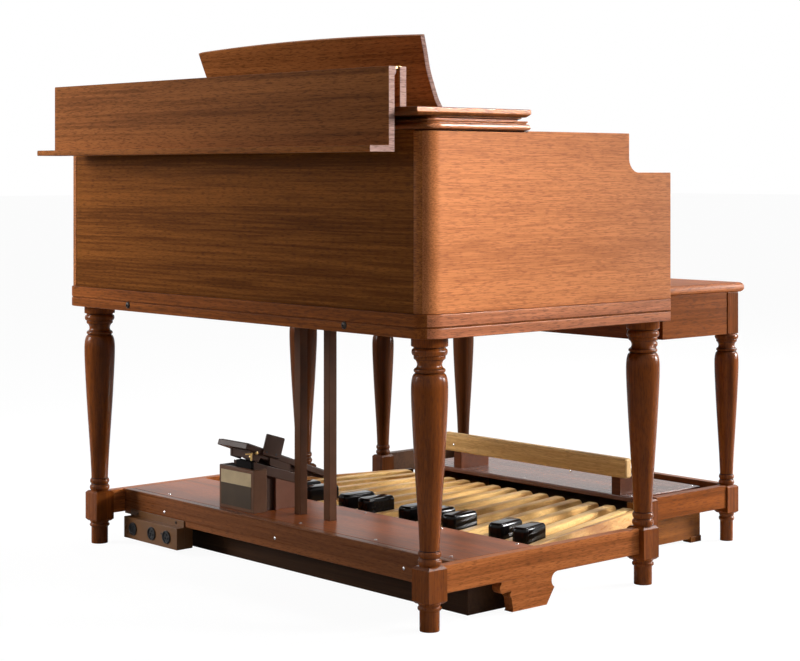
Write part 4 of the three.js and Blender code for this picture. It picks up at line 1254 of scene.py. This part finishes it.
shape = bmesh.new()
channel_steps = ((-84, -2), (-84, 18), (-108, 18), (-112, 8), (-135, 7), (-135, -2))
channel = [under_treadle(*step) for step in channel_steps]
add_side_outline(shape, channel, 100, 108)
add_side_outline(shape, channel, 164, 172)
add_block(shape, 104, 168, -92, -85, 237, 254)
piece("treadle_channel", shape, expression_dark, "treadle", "brown_metal", bevel=0.8)
for name, steps, x0, x1 in (
    ("web", ((-116, -2), (-116, 6), (-135, 12), (-150, 14), (-205, 13), (-296, 4), (-296, -2)), 109, 192),
    ("lug", ((-137, -2), (-137, 15), (-140, 17), (-190, 17), (-194, 14), (-194, -2)), 98.5, 106),
):
    shape = bmesh.new()
    add_side_outline(shape, [under_treadle(*step) for step in steps], x0, x1)
    piece(f"treadle_{name}", shape, expression_dark, "treadle", "brown_metal", bevel=0.8)
housing_limits = (110, 163, -109, -94, casing_top + 0.5, 228)
board("treadle_spring_housing", housing_limits, opening_black, "console", "sharp_black")
link_stud, link_pin, link_end = (-101, 248), (-84, 242), 100.5
shape = bmesh.new()
add_rod(shape, "x", link_stud, 3.6, 96.8, link_end, facets=14, rounding=0.6)
add_rod(shape, "x", link_pin, 2.8, 96.4, link_end, facets=12)
add_block(shape, 97, 99, -90, -70, 247, 250)
add_block(shape, 97, 99, -88, -84, 233, 248)
piece("treadle_linkage", shape, brass, "treadle", "brown_metal", bevel=0.4)
shape = bmesh.new()
pivot_in = 14
add_rod(shape, "x", pivot, 4, ex_x0 + pivot_in, ex_x1 - pivot_in, facets=20, rounding=0.6)
piece("treadle_pivot", shape, brass, "treadle", "brown_metal", bevel=0.4)

# Twenty-five pedals radiate from the heel. Naturals are rounded bars of maple, and sharps
# are shorter bars with a glossy black cap at the toe. One rule of two pitches places all.
heel_y = -787
toe_y = -262
heel_pitch = 51.6
sharp_y = -345
sharp_pitch = 68.5
fan_x = -3.5
maple = wood(
    "pedal_maple", "y", (0.92, 0.62, 0.26), (0.7, 0.42, 0.15), pore=(0.45, 0.25, 0.09), figure=0.5, pores=0.3,
    fineness=1.1, dullness=0.3, shine=0.05,
)
maple_end = wood(
    "maple_end_grain", "z", (0.62, 0.36, 0.14), (0.42, 0.22, 0.08), pore=(0.3, 0.15, 0.06), figure=0.2,
    pores=0.4, dullness=0.4,
)
cap_black = plain("sharp_cap_black", (0.006, 0.005, 0.005), 0.1, variation=0.2, relief=0.01, shine=0.15)


def ray_tree():
    tree, given = node_tree("pedal_on_its_ray", (
        ("Geometry", "NodeSocketGeometry"), ("Ray", "NodeSocketFloat"), ("Heel Pitch", "NodeSocketFloat"),
        ("Sharp Pitch", "NodeSocketFloat"), ("Run", "NodeSocketFloat"), ("Middle", "NodeSocketFloat"),
        ("Heel", "NodeSocketFloat"), ("Finish", "NodeSocketMaterial"),
    ))
    spread = maths(tree, "SUBTRACT", given["Sharp Pitch"], given["Heel Pitch"])
    each = maths(tree, "DIVIDE", spread, given["Run"])
    turn = maths(tree, "ARCTANGENT", maths(tree, "MULTIPLY", each, given["Ray"]))
    across = maths(tree, "MULTIPLY_ADD", given["Ray"], given["Heel Pitch"], given["Middle"])
    place = add_node(tree, "ShaderNodeCombineXYZ", {0: across, 1: given["Heel"]})
    turned = add_node(tree, "ShaderNodeCombineXYZ", {2: maths(tree, "MULTIPLY", turn, -1.0)})
    moved = add_node(tree, "GeometryNodeTransform", {
        "Geometry": given["Geometry"], "Translation": place.outputs[0], "Rotation": turned.outputs[0],
    })
    return finish_tree(tree, given, moved.outputs[0])


pedal_on_its_ray = ray_tree()


def on_ray(shape, ray, finish):
    bmesh.ops.recalc_face_normals(shape, faces=shape.faces)
    mesh = bpy.data.meshes.new("pedal")
    shape.to_mesh(mesh)
    shape.free()
    return grown(pedal_on_its_ray, mesh, {
        "Ray": ray, "Heel Pitch": heel_pitch, "Sharp Pitch": sharp_pitch, "Run": float(sharp_y - heel_y),
        "Middle": float(fan_x), "Heel": float(heel_y), "Finish": finish,
    })


def add_bar(shape, half_width, heel_top, toe_top, thick, nose, length):
    """A pedal bar with a crowned top, rounded down at the heel."""
    crown_high = 4.5
    stations = [
        (nose * (1 - math.cos(turn)), heel_top - nose * (1 - math.sin(turn)))
        for turn in map(math.radians, range(0, 91, 15))
    ]
    stations += [(length * i / 8, heel_top + (toe_top - heel_top) * i / 8) for i in range(1, 9)]
    rings = []
    for y, top in stations:
        low = top - thick if y > nose else heel_top - thick
        ring = [(-half_width, y, low), (half_width, y, low)]
        for i in range(9):
            a = math.radians(180 * i / 8)
            x = half_width * math.copysign(abs(math.cos(a)) ** 0.35, math.cos(a)) if i != 4 else 0
            swell = math.sin(a) ** 0.45 if i not in (0, 8) else 0
            ring.append((x, y, top - crown_high + crown_high * swell))
        rings.append(ring)
    add_rings(shape, rings)


cap_front, cap_rear = -425, -340


def add_cap(shape):
    """A moulded cap: square at the front, half round at the rear, softened along the top."""
    half_width, foot, shoulder, crown_high = 18, 93, 122, 9
    y0, y1 = cap_front - heel_y, cap_rear - heel_y
    plan = (
        arc(-half_width + 4, y0 + 4, 4, 180, 270, 5) + arc(half_width - 4, y0 + 4, 4, 270, 360, 5)
        + arc(half_width - 12, y1 - 12, 12, 0, 90, 8) + arc(-half_width + 12, y1 - 12, 12, 90, 180, 8)
    )
    middle = (y0 + y1) / 2
    levels = [(1, foot), (1, shoulder)] + [
        (1 - (6 / half_width) * (1 - math.cos(turn)), shoulder + crown_high * math.sin(turn))
        for turn in map(math.radians, (20, 40, 60, 78, 90))
    ]
    add_rings(shape, [
        [(x * s, middle + (y - middle) * (1 - (1 - s) * 0.45), z) for x, y in plan] for s, z in levels
    ])


last_ray = 7
natural = {"half_width": 12.5, "heel_top": 110, "toe_top": 97.5, "thick": 20, "nose": 9}
sharp = {"half_width": 7, "heel_top": 98, "toe_top": 91.5, "thick": 14, "nose": 6}
places = []
for step in range(2 * last_ray + 1):
    places.append((step - last_ray, False))
    if step % 7 in octave_sharps and step < 2 * last_ray:
        places.append((step + 0.5 - last_ray, True))
for i, (ray, is_sharp) in enumerate(places):
    number = f"{i + 1:02d}"
    shape = bmesh.new()
    add_bar(shape, length=toe_y - heel_y, **(sharp if is_sharp else natural))
    mesh = on_ray(shape, float(ray), maple)
    nodes = [f"pedal_{number}"]
    piece(f"pedal_bar_{number}", mesh, maple, f"pedal_{number}", "maple", nodes=nodes, ends=("y", maple_end))
    if is_sharp:
        shape = bmesh.new()
        add_cap(shape)
        mesh = on_ray(shape, float(ray), cap_black)
        piece(f"sharp_cap_{number}", mesh, cap_black, f"pedal_{number}", "sharp_black", nodes=nodes)

# The pedalboard's frame: a covered heel box, the beams under both ends of the pedals, two
# side planks, and two props that carry the foot rail.
maple_plank = wood(
    "plank_maple", "y", (0.68, 0.4, 0.15), (0.36, 0.16, 0.06), pore=(0.3, 0.14, 0.05), figure=0.75, pores=0.2,
    fineness=0.9, dullness=0.28,
)
heel_half = 350
heel_rear = -812
heel_front = -1050
heel_top = 128
heel_side = 16
heel_floor = 9
cover_thick = 12
beam_low, beam_high = 40, 87.7
beam_deep = 38
beam_front = -790
fan_rate = (sharp_pitch - heel_pitch) / (sharp_y - heel_y)
plank_gap = 6


def plank_edge(y):
    return last_ray * (heel_pitch + fan_rate * (y - heel_y)) + natural["half_width"] + plank_gap


plank_thick = 12
plank_low, plank_high = 62, 108
toe_board_y = -294
toe_board_front = -312
heel_edge = plank_edge(beam_front)
shape = bmesh.new()
for side in (-1, 1):
    toe_edge = plank_edge(toe_board_y)
    plan = [
        (fan_x + side * out, y) for out, y in (
            (heel_edge, beam_front), (heel_edge + plank_thick, beam_front),
            (toe_edge + plank_thick, toe_board_y), (toe_edge, toe_board_y),
        )
    ]
    add_upright(shape, plan if side > 0 else list(reversed(plan)), plank_low, plank_high)
piece("side_planks", shape, maple_plank, "pedalboard", "maple", nodes=["pedalboard_frame"], bevel=1.2)
walnut_heel = wood(
    "walnut_heel_side", "y", (0.28, 0.094, 0.014), (0.17, 0.052, 0.008), figure=0.6, pores=0.4, dullness=0.34,
)


def add_both_sides(shape, inner, outer, *limits):
    """The same block on the bass side and on the treble side, at these distances from the middle."""
    for side in (-1, 1):
        x0, x1 = sorted((fan_x + side * inner, fan_x + side * outer))
        add_block(shape, x0, x1, *limits)


under_cover = heel_top - cover_thick - 0.2
shape = bmesh.new()
add_both_sides(shape, heel_half - heel_side, heel_half, heel_front, heel_rear, heel_floor, under_cover)
piece("heel_box_sides", shape, walnut_heel, "pedalboard", "dark_walnut", bevel=1.0)
cover_brown = wood(
    "cover_brown", "x", (0.13, 0.042, 0.02), (0.07, 0.022, 0.011), figure=0.6, pores=0.25, dullness=0.26,
    shine=0.3,
)
board(
    "heel_box_cover",
    (fan_x - heel_half, fan_x + heel_half, heel_front, heel_rear, heel_top - cover_thick, heel_top),
    cover_brown, "pedalboard", "dark_walnut", bevel=2.2, segments=3,
)
between = heel_half - heel_side - 0.2
toe_half = plank_edge(toe_board_front)
toe_beam_low, toe_beam_high = 56, 64
shape = bmesh.new()
for half, y0, y1, z0, z1 in (
    (between, heel_front, heel_front + heel_side, heel_floor, under_cover),
    (between, heel_rear - beam_deep, heel_rear, beam_low, beam_high),
    (heel_edge, heel_rear + 0.2, beam_front, beam_low, beam_high),
):
    add_block(shape, fan_x - half, fan_x + half, y0, y1, z0, z1)
add_both_sides(
    shape, heel_edge, heel_edge + plank_thick, heel_rear + 0.2, beam_front - 0.2, beam_low, plank_high,
)
add_block(
    shape, fan_x - toe_half, fan_x + toe_half, toe_board_front, toe_board_y, toe_beam_low, toe_beam_high,
)
add_both_sides(shape, toe_half - 30, toe_half, toe_board_front, toe_board_y, 0, toe_beam_low)
piece("pedalboard_beams", shape, walnut_dark, "pedalboard", "dark_walnut", bevel=1.0)
felt_red = plain("heel_felt", (0.05, 0.015, 0.012), 0.95, variation=0.4, grit=2500, relief=0.6)
board(
    "heel_felt_strip",
    (fan_x - heel_edge, fan_x + heel_edge, heel_rear + 1, beam_front, beam_high - 0.1, beam_high + 0.5),
    felt_red, "pedalboard", "dark_walnut",
)
glide_wide, glide_long, glide_high, glide_proud = 22, 38, 14, 2
shape = bmesh.new()
for y in (heel_front - glide_proud, heel_rear - beam_deep - glide_proud):
    add_both_sides(shape, heel_half - glide_wide, heel_half + glide_proud, y, y + glide_long, 0, glide_high)
piece("heel_glides", shape, walnut_heel, "pedalboard", "dark_walnut", bevel=1.5)
ash_rail = wood(
    "foot_rail_ash", "x", (0.66, 0.42, 0.17), (0.45, 0.265, 0.095), pore=(0.26, 0.14, 0.05), figure=0.45,
    pores=0.5, fineness=1.1, dullness=0.4,
)
ash_end = wood(
    "foot_rail_end_grain", "z", (0.74, 0.5, 0.24), (0.55, 0.33, 0.13), pore=(0.36, 0.2, 0.08), figure=0.2,
    pores=0.4, dullness=0.5,
)
rail_limits = cad_limits("foot_rail")
board(
    "foot_rail_bar", rail_limits, ash_rail, "pedalboard", "ash", nodes=["foot_rail"], bevel=6, segments=5,
    ends=("x", ash_end),
)
prop_brown = wood(
    "prop_brown", "x", (0.1, 0.028, 0.009), (0.06, 0.016, 0.005), figure=0.5, pores=0.3, dullness=0.35,
)
prop_half, prop_long = 13, 96
prop_low, prop_high = heel_top - 1, rail_limits[4]
shape = bmesh.new()
for x in (-304, 215):
    add_block(shape, x - prop_half, x + prop_half, heel_rear - prop_long, heel_rear, prop_low, prop_high)
piece("foot_rail_props", shape, prop_brown, "pedalboard", "dark_walnut", bevel=1.6)
foot_rail_screws = [(x, rail_limits[3] - 0.1, z) for x, z in ((-176, 168), (215, 186))]
screws("foot_rail_screws", foot_rail_screws, "y", 3.4, 1.2, steel, body="pedalboard")
cover_screws = [
    (fan_x + x, y, heel_top - 0.1) for x in (-335, 0, 335) for y in (heel_front + 12, heel_rear - 12)
]
screws("cover_screws", cover_screws, "z", 3.6, 1.4, steel, body="pedalboard")

# The bench: an end frame of two turned legs and a rail on each side, a long rail, a tray
# for music, and a seat board whose edge is rounded over.
walnut_bench_side = wood(
    "walnut_bench_side", "y", (0.22, 0.06, 0.011), (0.12, 0.032, 0.006), figure=0.55, pores=0.45,
    dullness=0.32, shine=0.03,
)
walnut_bench_long = wood(
    "walnut_bench_long", "x", (0.22, 0.07, 0.02), (0.12, 0.036, 0.01), figure=0.6, pores=0.45, dullness=0.32,
)
# The seat's top and long edges take a darker walnut than its ends: painted shade on the top and painted light
# on the ends.
walnut_seat = wood(
    "walnut_seat", "x", (0.32, 0.09, 0.02), (0.18, 0.048, 0.01), figure=0.55, pores=0.4, dullness=0.4,
    shine=0.03,
)
walnut_seat_side = wood(
    "walnut_seat_side", "y", (0.44, 0.14, 0.04), (0.28, 0.082, 0.023), figure=0.5, pores=0.5, dullness=0.4,
    shine=0.08,
)
bench_left, bench_right = -387, 500
bench_near, bench_far = -818, -1105
bench_leg = {"shoulder": 27.8, "block": 39.4, "block_low": 64, "block_high": 129, "top": 499, "cut": 482.5}
bench_half = bench_leg["block"] / 2
post_low = 482
bench_rail = {"thick": 20, "inset": 4, "low": 79, "high": 131}
seat_under = cad_limits("bench_seat")[4]
for side, x in (("bass", bench_left), ("treble", bench_right)):
    shape = bmesh.new()
    for y in (bench_near, bench_far):
        add_leg(shape, x, y, **bench_leg)
    # The treble legs and posts take the darker walnut as painted shade.
    leg_finish = walnut_upright if side == "bass" else walnut_painted_shade
    piece(
        f"bench_legs_{side}", shape, leg_finish, "bench", "walnut", nodes=[f"bench_end_{side}"], bevel=0.9,
        angle=38,
    )
    shape = bmesh.new()
    for y in (bench_near, bench_far):
        add_quirks(shape, x, y, **bench_leg)
    piece(f"bench_quirks_{side}", shape, quirk_painted_shade, "bench", "walnut")
    shape = bmesh.new()
    for y in (bench_near, bench_far):
        add_block(shape, x - bench_half, x + bench_half, y - bench_half, y + bench_half, post_low, seat_under)
    piece(f"bench_posts_{side}", shape, leg_finish, "bench", "walnut", bevel=1.5)
    inner = 1 if side == "bass" else -1
    outer_face = bench_half - bench_rail["inset"]
    x0, x1 = sorted((x - inner * outer_face, x - inner * (outer_face - bench_rail["thick"])))
    # The treble rail takes the dark walnut as painted shade.
    board(
        f"bench_rail_{side}",
        (x0, x1, bench_far + bench_half, bench_near - bench_half, bench_rail["low"], bench_rail["high"]),
        walnut_bench_side if side == "bass" else walnut_dark, "bench", "walnut", bevel=1.6, segments=3,
    )
board(
    "bench_long_rail", cad_limits("bench_outer_rail"), walnut_bench_long, "bench", "walnut",
    nodes=["bench_outer_rail"], bevel=1.6,
)

tray_x0, tray_x1, tray_y0, tray_y1, tray_z0, tray_z1 = cad_limits("bench_tray")
post_in = bench_leg["block"] + 0.2
apron_thick, apron_inset = 20, 2
apron_in = apron_thick + apron_inset
shape = bmesh.new()
for x in (tray_x0 + apron_inset, tray_x1 - apron_in):
    add_block(shape, x, x + apron_thick, tray_y0 + post_in, tray_y1 - post_in, tray_z0, tray_z1)
piece("tray_ends", shape, walnut_bench_side, "bench", "walnut", nodes=["bench_tray"], bevel=0.9)
shape = bmesh.new()
for y in (tray_y0 + apron_inset, tray_y1 - apron_in):
    add_block(shape, tray_x0 + post_in, tray_x1 - post_in, y, y + apron_thick, tray_z0, tray_z1)
piece("tray_fronts", shape, walnut_bench_long, "bench", "walnut", bevel=0.9)
floor_low, floor_high = tray_z0 + 0.5, tray_z0 + 9.5
board(
    "tray_floor",
    (tray_x0 + apron_in, tray_x1 - apron_in, tray_y0 + post_in, tray_y1 - post_in, floor_low, floor_high),
    walnut_bench_long, "bench", "walnut", bevel=0.5,
)

seat_x0, seat_x1, seat_y0, seat_y1, seat_z0, seat_z1 = cad_limits("bench_seat")
seat_steps = [(6, seat_z0), (2, seat_z0 + 3), (0, seat_z0 + 7)] + [
    (9 - 9 * math.cos(turn), seat_z1 - 10 + 10 * math.sin(turn))
    for turn in map(math.radians, (0, 20, 40, 60, 80, 90))
]
shape = bmesh.new()
add_moulded(shape, seat_x0, seat_x1, seat_y0, seat_y1, seat_steps)
side_faces_painted_light(
    piece("seat_board", shape, walnut_seat, "seat", "walnut", nodes=["bench_seat"], bevel=0.5, angle=25),
    walnut_seat_side,
)
